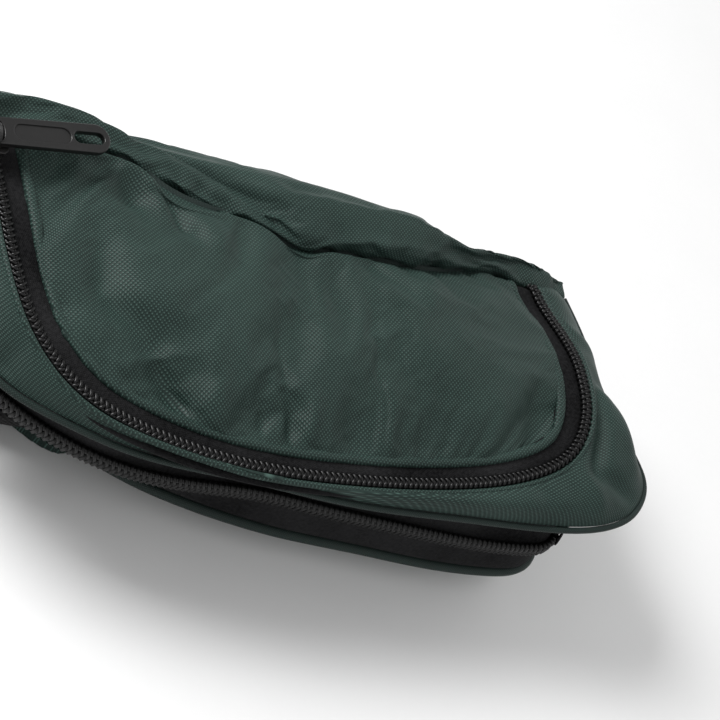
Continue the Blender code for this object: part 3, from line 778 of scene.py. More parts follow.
def finish_piece(
    obj: bpy.types.Object, slot: Slot, body: str, *nodes: str, blend: tuple | None = None
) -> bpy.types.Object:
    """Dress a piece, stand it for CAD nodes and hang it on its body; a piece given a blend is baked in place
    instead.

    Args:
        obj: the finished piece.
        slot: its finish.
        body: the CAD body that it moves with.
        nodes: the CAD nodes that it stands for.
        blend: (other body, start, end); when given, the piece is baked in place and not hung on its body, and
            the values are not used.

    Returns:
        The same object.
    """
    dress(obj, slot)
    if nodes:
        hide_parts(*nodes)
    if blend is None:
        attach(obj, body)
    else:
        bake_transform(obj)
    log.info("%s on %s, %d faces", obj.name, body, len(obj.data.polygons))
    return obj


# ---------------------------------------------------------------- the pack's own lines


@dataclass(frozen=True)
class FrontSurface:
    """The height of the pack's front: a slope up to the roll, raised near corners, a slack right end."""

    origin: tuple[float, float] = (-43.0, 47.0)
    slope: float = 0.2
    corner_lift: float = 4.5
    slack: float = 9.0
    dip: float = 5.0

    def height(self, plan: Array) -> Array:
        """z = z0 + slope (y - y0) + lift (x/88)^2 exp(-((y+14)/26)^2) - slack S(x) S(y) - dip S(x) S(y).

        S is a smoothstep. The dip takes the zip's right end down under the rolled gusset.

        Args:
            plan: x and y, in metres.

        Returns:
            z, in metres.
        """
        x, y = plan[..., 0] / MM, plan[..., 1] / MM
        z = self.origin[1] + self.slope * (y - self.origin[0])
        z = z + self.corner_lift * np.minimum(np.abs(x) / 88.0, 1.1) ** 2 * np.exp(
            -(((y + 14.0) / 26.0) ** 2)
        )
        z = z - self.slack * smooth(30.0, 92.0, x) * smooth(0.0, 38.0, y)
        return (z - self.dip * smooth(70.0, 84.0, x) * smooth(34.0, 41.0, y)) * MM

    def lay(self, plan: Array, above: Array | float = 0.0) -> Array:
        """Points of the surface over plan places, raised by a distance."""
        return np.concatenate([plan, (self.height(plan) + above)[..., None]], axis=-1)

    def up(self, plan: Array) -> Array:
        """The surface's normal by small differences."""
        step = 0.5 * MM
        dx = (self.height(plan + (step, 0.0)) - self.height(plan - (step, 0.0))) / (2.0 * step)
        dy = (self.height(plan + (0.0, step)) - self.height(plan - (0.0, step))) / (2.0 * step)
        return unit(np.stack([-dx, -dy, np.ones_like(dx)], axis=-1))


FRONT = FrontSurface()
U_LINE = Guide((
    (-96.4, 35.5), (-94.7, 27.6), (-92.4, 15), (-91.2, 5), (-89.2, -6), (-86, -15), (-81.4, -22),
    (-70, -31.6), (-54.4, -37.7), (-26, -42.8), (11.6, -42.8), (49.2, -38.9), (75, -32.8),
    (89.2, -24.4), (94.7, -12), (95.2, 1), (94.2, 19.5), (92, 30), (90, 40.5),
))
SEAM_LINE = Guide((
    (-89.5, 38), (-75, 41), (-61, 42.4), (-53, 40.6), (-43, 35.6), (-29, 32.4), (-17, 31),
    (-5, 27), (14, 27.8), (34, 28.4), (52, 31), (70, 36.5), (83, 37),
))
PIPING_LINE = Guide((
    (-108, 36, 58), (-108, 12, 55.5), (-104, -12, 51.5), (-90.5, -28.6, 47.9), (-72.6, -36.6, 46.3),
    (-53.6, -41.2, 44.7), (-32, -43.4, 44.5), (-16, -44.4, 44.5), (7, -46.6, 44.5), (22, -47.2, 44.5),
    (50, -46.6, 44.5), (79, -46.3, 45.3), (99.3, -45.5, 49.2), (107.6, -42.5, 50.3), (115.5, -35.8, 50.6),
    (118.8, -29, 51), (118.5, -22, 51), (114.5, -9, 51), (112, 6, 50.5), (111.3, 22, 50), (109.5, 40, 48.5),
))
MAIN_LINE = Guide((
    (-96.3, -7.9), (-88.1, -17.5), (-78, -26.1), (-66.5, -32.7), (-51.7, -37.9), (-32.4, -40),
    (-8, -39.9), (10.5, -41.8), (31, -43.7), (59, -45.7), (82, -45.4), (90.3, -43.4), (94.5, -39.5),
))
UPPER_LINE = Guide((
    (-98, -8), (-92, -18), (-83, -27.4), (-70, -35.2), (-61, -38), (-51.7, -39.6), (-32.4, -40.8),
    (-8, -41.6), (10.5, -44), (31, -44.6), (59, -44.4), (82, -44), (90.3, -42.4), (94.5, -39),
))
BACK_LINE = Guide((
    (-93, 8), (-84, -2), (-72, -12), (-57.5, -21.3), (-50, -25.2), (-41, -29.6), (-24, -35.4),
    (-8, -39), (4.4, -41), (31, -43.2), (56.4, -45.2), (82, -45), (92, -43.2), (98, -39.5),
))
CHAIN_LEVEL = 31.3 * MM


def tape_width(path: Path) -> Array:
    """Visible width of the zip's inner tape: 5.2 mm along the bottom and 7.8 mm on the legs."""
    return (5.2 + 2.6 * np.abs(path.out[:, 0]) ** 1.5) * MM


def u_path(count: int, above: float = 0.0) -> Path:
    """The pocket zip's middle line on the front surface, from the left leg round to the right."""
    plan = U_LINE.sample(count)
    return Path.on_surface(FRONT.lay(plan, above), FRONT.up(plan))


def wall_path(guide: Guide, level: float, count: int) -> Path:
    """A line round the near wall at one level; out points away from the pack's middle and up is +Z."""
    plan = guide.sample(count)
    points = np.concatenate([plan, np.full((count, 1), level)], axis=1)
    return Path.on_surface(points, np.broadcast_to([0.0, 0.0, 1.0], points.shape))


# ---------------------------------------------------------------- zips


@dataclass(frozen=True)
class CoilTeeth:
    """One half of a nylon coil: a bent rod per tooth, and a core cord under the rods."""

    pitch: float = 1.75 * MM
    rod: float = 0.52 * MM
    half: float = 1.7 * MM
    sides: int = 6
    bend: tuple[tuple[float, float, float], ...] = (
        (-0.30, 1.0, 0.45), (-0.34, 1.0, 1.10), (-0.20, 0.82, 1.62), (0.34, 0.28, 1.72), (0.55, -0.16, 1.45),
        (0.50, -0.22, 0.8),
    )
    core: float = 0.7 * MM

    def teeth(self, name: str, path: Path, side: float, phase: float) -> bpy.types.Object:
        """Each tooth is a tube through the bend's (along, out, up) points, placed on the path once per pitch.

        Args:
            name: the piece's name.
            path: the chain's middle line.
            side: 1 for the half outside the line and -1 for the inside half.
            phase: share of a pitch by which this half is shifted.

        Returns:
            One mesh of all the teeth and the core cord.
        """
        lengths = path.lengths()
        at = np.arange((0.25 + phase) * self.pitch, lengths[-1] - 0.4 * self.pitch, self.pitch)
        frame = (path.points, path.along, path.out, path.up)
        center, along, out, up = (self._along(lengths, values, at) for values in frame)
        bend = np.asarray(self.bend) * (MM, self.half, MM)
        direction = unit(np.gradient(bend, axis=0))
        sideways = unit(np.cross(direction, (1.0, 0.0, 0.0)))
        third = np.cross(direction, sideways)
        angle = np.linspace(0.0, 2.0 * math.pi, self.sides, endpoint=False)
        swell = np.array([0.8, 1.0, 1.0, 1.0, 1.25, 0.9]) * self.rod
        ring = (
            np.cos(angle)[None, :, None] * sideways[:, None]
            + np.sin(angle)[None, :, None] * third[:, None]
        )
        local = (bend[:, None] + ring * swell[:, None, None]).reshape(-1, 3)
        local[:, 1] *= side
        points = (
            center[:, None]
            + along[:, None] * local[None, :, :1]
            + out[:, None] * local[None, :, 1:2]
            + up[:, None] * local[None, :, 2:]
        )
        one = grid_faces(len(bend), self.sides, wrap=True)
        faces = (one[None] + (np.arange(len(at)) * len(local))[:, None, None]).reshape(-1, 4).tolist()
        rows = mesh_object(name + "_rods", points, faces)
        cord = Path(path.ring(side * self.half * 0.55, 0.75 * MM), path.along, path.out, path.up)
        parts = [rows, tube_object(name + "_core", cord, self.core, 8)]
        return turn_out(joined(name, parts))

    @staticmethod
    def _along(lengths: Array, values: Array, at: Array) -> Array:
        """Rows interpolated at given distances."""
        return np.stack([np.interp(at, lengths, values[:, k]) for k in range(3)], axis=1)


@dataclass(frozen=True)
class PocketZip:
    """The front pocket's U-shaped zip: velvety tapes under two toothed halves."""

    steps: int = 260
    teeth: CoilTeeth = field(default_factory=CoilTeeth)
    covered: CoilTeeth = CoilTeeth(half=1.15 * MM)
    tape: float = 0.7 * MM

    def build(self) -> None:
        """Build both tapes, both coils and the end stop."""
        path = u_path(self.steps, 0.2 * MM)
        self._tapes(path)
        hinge = {"blend": ("pocket_flap", (0.0, 0.040, 0.062), (0.0, 0.028, 0.060))}
        inner = self.teeth.teeth("pocket_coil_inner_teeth", path, -1.0, 0.0)
        finish_piece(inner, Slot.COIL, "pack_front", "pocket_coil_inner", **hinge)
        outer = self.covered.teeth("pocket_coil_outer_teeth", path, 1.0, 0.5)
        finish_piece(outer, Slot.COIL, "pack_front", "pocket_coil_outer")
        self._stop(path)

    def _tapes(self, path: Path) -> None:
        """Flat bands either side of the middle line, with a slight crown across."""
        width = tape_width(path) + 2.6 * MM
        share = np.linspace(0.0, 1.0, 9)
        crown = 0.5 * MM * np.sin(math.pi * share)
        ripple = 0.15 * MM * np.sin(path.lengths() / (3.1 * MM)) * np.sin(path.lengths() / (7.7 * MM))
        inner = np.stack(
            [path.ring(-0.35 * MM - width * s, c + ripple * s - 0.1 * MM) for s, c in zip(share, crown)],
            axis=1,
        )
        sheet = thicken(sheet_object("pocket_tape_inner_felt", inner, (0, 0, 1)), self.tape)
        finish_piece(
            sheet, Slot.TAPE, "pack_front", "pocket_tape_inner",
            blend=("pocket_flap", (0.0, 0.040, 0.062), (0.0, 0.028, 0.060)),
        )
        outer = np.stack([path.ring(0.35 * MM + 4.0 * MM * s, -0.1 * MM) for s in share[::2]], axis=1)
        band = thicken(sheet_object("pocket_tape_outer_felt", outer, (0, 0, 1)), self.tape)
        finish_piece(band, Slot.TAPE, "pack_front", "pocket_tape_outer")

    def _stop(self, path: Path) -> None:
        """A folded fabric tab over the chain's right end."""
        span = Path(path.points[-5:], path.along[-5:], path.out[-5:], path.up[-5:])
        across = np.linspace(-3.4, 3.4, 9)
        profile = np.stack([across, 2.9 - 0.16 * across**2], axis=1) * MM
        tab = thicken(sheet_object("pocket_stop_tab", span.sweep(profile), (0, 0, 1)), 0.6 * MM)
        finish_piece(tab, Slot.FABRIC, "pack_front", "pocket_end_stop")


@dataclass(frozen=True)
class MainZip:
    """The main zip round the near wall: two tapes that meet at the chain, and its end tab."""

    steps: int = 190
    teeth: CoilTeeth = CoilTeeth(half=2.2 * MM, rod=0.6 * MM, core=1.0 * MM)

    def build(self) -> None:
        """Build the wall's tapes and the toothed halves."""
        middle = wall_path(MAIN_LINE, CHAIN_LEVEL, self.steps)
        upright = np.broadcast_to([0.0, 0.0, 1.0], middle.points.shape)
        outward = Path(middle.points, middle.along, upright, middle.out)
        lower = wall_path(BACK_LINE, 16.4 * MM, self.steps)
        upper = wall_path(UPPER_LINE, 43.6 * MM, self.steps)
        self._tape("main_tape_front_felt", middle, upper, 0.3, "pack_front", "main_tape_front")
        self._tape("main_tape_back_felt", middle, lower, -0.3, "pack_back", "main_tape_back")
        front = self.teeth.teeth("main_coil_front_teeth", outward, 1.0, 0.5)
        finish_piece(front, Slot.COIL, "pack_front", "main_coil_front")
        back = self.teeth.teeth("main_coil_back_teeth", outward, -1.0, 0.0)
        finish_piece(back, Slot.COIL, "pack_back", "main_coil_back")
        self._stop(outward)

    def _tape(self, name: str, chain: Path, edge: Path, gap: float, body: str, node: str) -> None:
        """A ruled band from chain to seam, pressed in a little halfway: p = (1-s) chain + s edge - dip."""
        share = np.linspace(0.0, 1.0, 12)
        near = chain.points + (0.0, 0.0, gap * MM)
        far = edge.points
        dip = 1.4 * MM * np.sin(math.pi * share)
        ripple = 0.3 * MM * np.sin(chain.lengths() / (9.0 * MM))[:, None] * np.sin(math.pi * share)[None, :]
        grid = near[:, None] * (1.0 - share)[None, :, None] + far[:, None] * share[None, :, None]
        grid = grid - chain.out[:, None] * (dip[None, :] + ripple)[..., None]
        sheet = thicken(sheet_object(name, grid, (0, -1, 0)), 0.7 * MM)
        finish_piece(sheet, Slot.TAPE, body, node)

    def _stop(self, chain: Path) -> None:
        """A folded tab over the chain's right end."""
        span = Path(chain.points[-4:], chain.along[-4:], chain.out[-4:], chain.up[-4:])
        across = np.linspace(0.6, 4.2, 7)
        profile = np.stack([across, 2.8 - 0.10 * (across - 1.0) ** 2], axis=1) * MM
        tab = thicken(sheet_object("main_stop_tab", span.sweep(profile), (1, -1, 0)), 0.6 * MM)
        finish_piece(tab, Slot.TAPE, "pack_front", "main_end_stop")


# ---------------------------------------------------------------- fabric of the front


@dataclass(frozen=True)
class FlapPanel:
    """The pocket's front panel: a cloth patch held along its zip and its gathered seam."""

    columns: int = 150
    rows: int = 70
    dome: float = 2.2 * MM
    hem: float = 1.1 * MM
    folds: tuple[Fold, ...] = (
        Fold((-58, 37), (-52, 22), 4.5, -2.4),
        Fold((-51, 36), (-43, 24), 2.8, 2.2),
        Fold((-42, 29), (-37, 18), 2.8, -2.8),
        Fold((-35, 30), (-28, 12), 5.0, 1.6),
        Fold((-20, 30), (-24, 12), 4.0, -1.4),
        Fold((-6, 27), (-12, 6), 4.0, -1.4),
        Fold((6, 27), (2, 8), 3.6, 1.3),
        Fold((24, 28), (14, 6), 5.0, -1.2),
        Fold((48, 30), (34, 6), 6.0, 1.2),
        Fold((-66, 12), (-65, -8), 5.5, -3.0),
        Fold((-66, -5), (-50, -17), 4.5, -2.8),
        Fold((-52, -4), (-34, -12), 6.0, 1.4),
        Fold((-52, -20), (-37, -37), 3.6, -2.8),
        Fold((-31, -36), (-34, -20), 3.8, 1.6),
        Fold((-17.5, -36), (-17, -27), 1.8, -1.6),
        Fold((-12.5, -36), (-11, -27), 1.8, 1.4),
        Fold((-8.5, -36), (-8.5, -28), 1.7, -1.4),
        Fold((-3.5, -36), (-2, -24), 2.2, 1.4),
        Fold((9, -37), (11, -20), 4.0, -2.0),
        Fold((23, -37), (23, -18), 3.2, 1.9),
        Fold((35, -36), (40, -18), 5.0, -1.8),
        Fold((52, -33), (64, -8), 6.0, 1.2),
        Fold((72, -26), (80, -4), 5.0, -1.2),
        Fold((20, 2), (70, 16), 7.0, -1.0),
    )

    def outline(self) -> tuple[Array, Array, Array, Array]:
        """Plan edges: near, far, left and right, meeting mid corner in front and at the seam's ends."""
        path = u_path(600)
        edge = (path.points - path.out * tape_width(path)[:, None])[:, :2]
        heading = np.degrees(np.arctan2(path.along[:, 1], path.along[:, 0]))
        left_corner = int(np.argmax(heading > -45.0))
        right_corner = int(len(heading) - np.argmax(heading[::-1] < 45.0))
        near = self._even(edge[left_corner : right_corner + 1], self.columns)
        left = self._even(edge[: left_corner + 1][::-1], self.rows)
        right = self._even(edge[right_corner:], self.rows)
        seam = SEAM_LINE.sample(self.columns)
        share = np.linspace(0.0, 1.0, self.columns)[:, None]
        seam = seam + (left[-1] - seam[0]) * (1.0 - share) ** 6 + (right[-1] - seam[-1]) * share**6
        return near, seam, left, right

    @staticmethod
    def _even(line: Array, count: int) -> Array:
        """A line resampled at even steps."""
        travelled = np.concatenate([[0.0], np.cumsum(np.linalg.norm(np.diff(line, axis=0), axis=1))])
        wanted = np.linspace(0.0, travelled[-1], count)
        return np.stack([np.interp(wanted, travelled, line[:, k]) for k in range(2)], axis=1)

    def plan(self) -> Array:
        """Coons patch: blend of the two ruled surfaces less the bilinear corners.

        Returns:
            columns x rows x 2 plan places.
        """
        near, seam, left, right = self.outline()
        u = np.linspace(0.0, 1.0, self.columns)[:, None, None]
        v = np.linspace(0.0, 1.0, self.rows)[None, :, None]
        ruled = near[:, None] * (1.0 - v) + seam[:, None] * v + left[None] * (1.0 - u) + right[None] * u
        corners = (
            near[0] * (1.0 - u) * (1.0 - v)
            + near[-1] * u * (1.0 - v)
            + seam[0] * (1.0 - u) * v
            + seam[-1] * u * v
        )
        return ruled - corners

    def build(self) -> None:
        """Build the patch, settle it, add its folds and its folded hem."""
        plan = self.plan()
        u = np.linspace(0.0, 1.0, self.columns)[:, None]
        v = np.linspace(0.0, 1.0, self.rows)[None, :]
        rim = np.minimum(np.minimum(u, 1.0 - u) * 3.0, np.minimum(v, 1.0 - v))
        bulge = self.dome * np.sin(math.pi * u) ** 0.5 * np.sin(math.pi * v) ** 0.7
        tuck = -3.6 * MM * smooth(0.945, 1.0, v) * np.ones_like(u)
        grid = FRONT.lay(plan, 0.9 * MM + bulge + tuck)
        panel = sheet_object("pocket_flap_cloth", grid, (0, 0, 1), uv=plan)
        held = ((rim < 1.2 / self.rows) | (v > 0.975)).ravel().astype(float)
        ClothSettle(pressure=2.0, spare=0.035, frames=22, cap=5.0 * MM, bending=0.35).run(panel, held)
        flat = vertex_array(panel.data)[:, :2]
        lift = sum(fold.lift(flat) for fold in self.folds)
        fade = smooth(0.0, 0.09, rim).ravel()
        push(panel, lift * fade)
        refine(thicken(panel, 0.8 * MM))
        hinge = ("pocket_flap", (0.0, 0.040, 0.062), (0.0, 0.028, 0.060))
        finish_piece(panel, Slot.FABRIC, "pack_front", "pocket_flap", blend=hinge)
        self._hem(hinge)

    def _hem(self, hinge: tuple) -> None:
        """The panel's folded edge beside the tape: a flattened half-round profile along the zip."""
        path = u_path(300, 0.2 * MM)
        line = Path(path.ring(-tape_width(path), 0.0), path.along, path.out, path.up)
        angle = np.radians(np.linspace(-35.0, 180.0, 12))
        puckers = 1.0 + 0.10 * np.sin(line.lengths() / (2.3 * MM)) * np.sin(line.lengths() / (5.9 * MM))
        profile = np.stack([np.cos(angle) * 1.5 - 1.3, np.sin(angle) * 1.15 + 0.45], axis=1) * MM
        grid = line.points[:, None] + line.out[:, None] * profile[None, :, :1] * puckers[:, None, None]
        grid = grid + line.up[:, None] * profile[None, :, 1:] * puckers[:, None, None]
        hem = thicken(sheet_object("pocket_flap_hem", grid, (0, 0, 1), uv=grid[..., :2]), 0.5 * MM)
        finish_piece(hem, Slot.FABRIC, "pack_front", blend=hinge)


@dataclass(frozen=True)
class FrontBorder:
    """The border outside the pocket zip, with its folded inner edge and the piping on its outer edge."""

    columns: int = 260
    rows: int = 24
    folds: tuple[Fold, ...] = (
        Fold((100.5, -2), (99.5, -18), 2.8, -2.2),
        Fold((99.5, -16), (96.5, -31), 3.0, -3.6),
        Fold((97, -31), (110, -37), 3.0, -2.2),
        Fold((108, -4), (112, -26), 4.0, 2.0),
        Fold((100, 4), (110, -4), 3.4, -1.8),
        Fold((98, 20), (110, 10), 3.4, 1.2),
        Fold((90, -30), (98, -44), 3.4, 1.6),
        Fold((74, -36), (80, -45), 3.0, -0.8),
        Fold((-88, -24), (-96, -32), 3.4, -1.2),
        Fold((-60, -36), (-40, -42), 2.4, -0.6),
    )

    def build(self) -> None:
        """Build the border strip, its hem and the piping."""
        inner = u_path(self.columns)
        outer = PIPING_LINE.sample(self.columns)
        room = np.linalg.norm(outer - inner.points, axis=1)
        begin = np.clip(0.3 * room, 1.2 * MM, 1.8 * MM)
        start = inner.ring(begin + 0.5 * MM, 1.7 * MM)
        share = np.linspace(0.0, 1.0, self.rows)
        grid = start[:, None] * (1.0 - share)[None, :, None] + outer[:, None] * share[None, :, None]
        span = np.linalg.norm(outer - start, axis=1)
        puff = 0.16 * np.minimum(span, 16.0 * MM)[:, None] * np.sin(math.pi * share)[None, :] ** 0.9
        grid = grid + inner.up[:, None] * puff[..., None]
        fall = grid[..., 2]
        turned = np.tanh(grid[..., 0] / (50.0 * MM))
        cloth = np.stack([grid[..., 0] - fall * turned, grid[..., 1] + fall], axis=-1)
        border = sheet_object("front_border_cloth", grid, (0, 0, 1), uv=cloth)
        flat = vertex_array(border.data)[:, :2]
        fade = smooth(0.0, 0.2, share) * (1.0 - smooth(0.8, 1.0, share))
        fade = fade[None, :] * np.ones((self.columns, 1))
        push(border, sum(fold.lift(flat) for fold in self.folds) * (0.25 + 0.75 * fade.ravel()))
        refine(thicken(border, 0.8 * MM))
        finish_piece(border, Slot.FABRIC, "pack_front", "front_border")
        hem_line = Path(inner.ring(begin, 0.2 * MM), inner.along, inner.out, inner.up)
        angle = np.radians(np.linspace(-55.0, 215.0, 14))
        profile = np.stack([np.cos(angle) * 0.9 + 0.6, np.sin(angle) * 1.0 + 1.0], axis=1) * MM
        hem = hem_line.sweep(profile)
        piece = thicken(sheet_object("front_border_hem", hem, (0, 0, 1), uv=hem[..., :2]), 0.4 * MM)
        finish_piece(piece, Slot.FABRIC, "pack_front")
        self._piping(outer)

    def _piping(self, line: Array) -> None:
        """A round cord hanging just outside the border's edge."""
        path = Path.on_surface(line, np.broadcast_to([0.0, 0.0, 1.0], line.shape))
        moved = Path(path.ring(0.6 * MM, -0.8 * MM), path.along, path.out, path.up)
        cord = tube_object("front_piping_cord", moved, 0.95 * MM, 12)
        finish_piece(cord, Slot.TRIM, "pack_front", "front_piping")


@dataclass(frozen=True)
class RolledGusset:
    """The bottom gusset: a puffed roll behind the gathered seam, down to the back panel's far edge."""

    columns: int = 150
    rows: int = 88
    span: tuple[float, float] = (-104.0, 107.0)
    foot_rise: tuple[float, float] = (17.0, 52.0)
    foot_taper: float = 0.065
    fold_ends: tuple[float, float] = (88.0, 104.0)
    stations: tuple[float, ...] = (-104, -80, -60, -45, -30, -15, 0, 20, 40, 60, 80, 98, 108)
    seam: tuple[tuple[float, float], ...] = (
        (37, 60.5), (40, 61.5), (42.2, 61.5), (36.6, 60.0), (32.4, 59.3), (30.0, 59.0),
        (26.8, 58.4), (28.2, 58.8), (28.8, 58.6), (33.0, 56.0), (36.6, 53.0), (36.8, 51.4), (39.5, 49.5),
    )
    ridge: tuple[tuple[float, float], ...] = (
        (41.5, 67.5), (43.5, 67.6), (45.6, 67.6), (43.4, 66.8), (39.5, 65.8), (34.0, 64.0),
        (30.2, 62.8), (33.5, 64.2), (33.6, 63.8), (36.5, 60.5), (40.2, 57.2), (41.6, 55.0), (42.0, 51.2),
    )
    valley: tuple[tuple[float, float], ...] = (
        (45.0, 69.4), (47.2, 68.4), (48.0, 67.2), (45.6, 65.0), (42.6, 64.4), (39.0, 64.6),
        (37.5, 65.4), (40.5, 66.8), (38.5, 65.6), (39.2, 61.8), (41.6, 58.2), (42.2, 55.4), (42.6, 51.3),
    )
    crest: tuple[tuple[float, float], ...] = (
        (47.5, 67.6), (49.4, 65.8), (50.2, 65.0), (48.6, 64.6), (47.8, 65.6), (47.4, 66.8),
        (47.8, 67.0), (47.2, 67.2), (43.8, 66.2), (42.2, 62.0), (43.2, 58.2), (43.0, 55.0), (43.4, 50.6),
    )
    far: tuple[tuple[float, float], ...] = (
        (52.4, 59.5), (53.2, 58.5), (53.4, 58.0), (53.3, 58.0), (53.3, 58.0), (53.4, 58.0),
        (53.6, 58.0), (53.6, 58.0), (53.0, 57.6), (52.0, 55.5), (50.0, 52.0), (47.6, 49.0), (46.0, 46.0),
    )
    wall: tuple[tuple[float, float], ...] = ((53.4, 47.0), (53.0, 38.0), (51.0, 27.0), (47.6, 17.0))
    folds: tuple[Fold, ...] = (
        Fold((-55, 20), (-47, 8), 2.6, -1.0),
        Fold((-30, 14), (-36, 3), 2.2, -0.9),
        Fold((-12, 13), (-6, 3), 2.4, -0.8),
        Fold((8, 16), (16, 2), 3.0, -0.9),
        Fold((28, 14), (24, 2), 2.6, 0.8),
        Fold((44, 12), (52, 2), 3.0, -1.0),
        Fold((64, 10), (74, 1), 3.0, 0.9),
    )

    def build(self) -> None:
        """Loft the profile over its stations, settle it and add its gathers."""
        x = np.linspace(*self.span, self.columns)
        rails = (self.seam, self.ridge, self.valley, self.crest, self.far)
        lines = [self._line(x, values) for values in rails]
        lip = lines[0] + (-1.3, 2.8) - (0.0, 1.4) * smooth(70.0, 108.0, x)[:, None]
        lines[0] = lines[0] + (1.6, -2.6)
        lines.insert(1, lip)
        for y, z in self.wall:
            slim = 1.0 - 0.12 * smooth(60.0, 107.0, np.abs(x))
            lines.append(np.stack([y * slim, np.full_like(x, z)], axis=1))
        knots = np.stack(lines, axis=1)
        grid = self._loft(x, knots)
        foot = 1.0 - smooth(*self.foot_rise, grid[..., 2] / MM)
        grid[..., 0] *= 1.0 - self.foot_taper * foot * smooth(70.0, 104.0, np.abs(grid[..., 0]) / MM)
        across = np.concatenate(
            [np.zeros((self.columns, 1)), np.cumsum(np.linalg.norm(np.diff(grid, axis=1), axis=2), axis=1)],
            axis=1,
        )
        uv = np.stack([grid[..., 0], across], axis=-1)
        roll = sheet_object("bottom_gusset_cloth", grid, (0, 1, 0.4), uv=uv)
        row = np.tile(np.arange(self.rows), self.columns)
        column = np.repeat(np.arange(self.columns), self.rows)
        held = (row < 2) | (row > self.rows - 4) | (column < 2) | (column > self.columns - 3)
        settle = ClothSettle(pressure=1.5, spare=0.03, frames=20, cap=3.0 * MM, bending=0.4)
        settle.run(roll, held.astype(float))
        lift = sum(fold.lift(uv.reshape(-1, 2)) for fold in self.folds)
        gathers = 0.5 * MM * np.sin(uv[..., 0] / (1.9 * MM) + 2.0 * np.sin(uv[..., 0] / (11.0 * MM)))
        gathers = gathers * (1.0 - smooth(2.0 * MM, 9.0 * MM, uv[..., 1]))
        ends = 1.0 - smooth(*self.fold_ends, np.abs(grid[..., 0]) / MM)
        push(roll, (lift + gathers.ravel()) * ends.ravel())
        refine(thicken(roll, 0.8 * MM))
        finish_piece(
            roll, Slot.FABRIC, "pack_back", "bottom_gusset",
            blend=("pack_front", (0.0, 0.050, 0.017), (0.0, 0.050, 0.045)),
        )

    def _line(self, x: Array, values: tuple[tuple[float, float], ...]) -> Array:
        """One profile point's (y, z) along x: straight between stations, then smoothed by a short average."""
        raw = np.stack([np.interp(x, self.stations, [v[k] for v in values]) for k in range(2)], axis=1)
        kernel = np.ones(9) / 9.0
        padded = np.pad(raw, ((4, 4), (0, 0)), mode="edge")
        return np.stack([np.convolve(padded[:, k], kernel, mode="valid") for k in range(2)], axis=1)

    def _loft(self, x: Array, knots: Array) -> Array:
        """Rows of points along a Catmull-Rom curve through each station's profile points.

        Args:
            x: the stations, in millimetres.
            knots: (station, profile point, y and z), in millimetres.

        Returns:
            A grid of points, in metres.
        """
        count = knots.shape[1]
        padded = np.concatenate(
            [knots[:, :1] * 2 - knots[:, 1:2], knots, knots[:, -1:] * 2 - knots[:, -2:-1]], axis=1
        )
        at = np.linspace(0.0, count - 1 - 1e-6, self.rows)
        span = at.astype(int)
        t = (at - span)[None, :, None]
        p0, p1, p2, p3 = (padded[:, span + k] for k in range(4))
        curve = 0.5 * (
            2 * p1
            + (p2 - p0) * t
            + (2 * p0 - 5 * p1 + 4 * p2 - p3) * t**2
            + (3 * p1 - p0 - 3 * p2 + p3) * t**3
        )
        grid = np.zeros((len(x), self.rows, 3))
        grid[..., 0] = x[:, None]
        grid[..., 1:] = curve
        return grid * MM


@dataclass(frozen=True)
class SideWalls:
    """The two side gussets, from the main zip's ends round to the rolled gusset."""

    steps: int = 60
    rows: int = 30

    def build(self) -> None:
        """Build both walls as ruled sheets with a slack middle."""
        foot_right = Guide(
            ((95, -40.5), (100.5, -34), (101, -20), (101, 0), (101, 20), (100.3, 38), (99.5, 46))
        )
        head_right = Guide((
            (96, -41, 44.5), (103, -33, 47), (106, -20, 48), (107, 0, 48), (107, 20, 47.5),
            (106.8, 38, 47.5), (106, 45, 46),
        ))
        foot_left = Guide(((-92.5, 6), (-95.5, 11), (-97.5, 18), (-98, 28), (-98, 38), (-97.3, 46.5)))
        head_left = Guide((
            (-98, -8, 48), (-102, 0, 51), (-104, 12, 53), (-104.5, 26, 55), (-104, 38, 57), (-103.4, 47, 57),
        ))
        self._wall("side_gusset_left_cloth", foot_left, head_left, (-1, 0, 0), "side_gusset_left")
        self._wall("side_gusset_right_cloth", foot_right, head_right, (1, 0, 0), "side_gusset_right")

    def _wall(self, name: str, foot: Guide, head: Guide, toward: tuple, node: str) -> None:
        """p = (1-s) foot + s head, drawn in by slack sin(pi s) with a few vertical buckles."""
        low = foot.sample(self.steps)
        low = np.concatenate([low, np.full((self.steps, 1), 16.6 * MM)], axis=1)
        high = head.sample(self.steps)
        share = np.linspace(0.0, 1.0, self.rows)
        grid = low[:, None] * (1.0 - share)[None, :, None] + high[:, None] * share[None, :, None]
        t = np.linspace(0.0, 1.0, self.steps)[:, None]
        slack = (
            np.sin(math.pi * share)[None, :]
            * (1.6 + 1.1 * np.sin(13.0 * t + 2.0) + 0.6 * np.sin(31.0 * t))
            * MM
        )
        grid[..., 0] -= toward[0] * slack * np.sin(math.pi * t) ** 0.5
        wall = refine(thicken(sheet_object(name, grid, toward), 0.8 * MM))
        finish_piece(
            wall, Slot.FABRIC, "pack_back", node, blend=("pack_front", (0.0, 0.0, 0.017), (0.0, 0.0, 0.045))
        )


# ---------------------------------------------------------------- back and belt


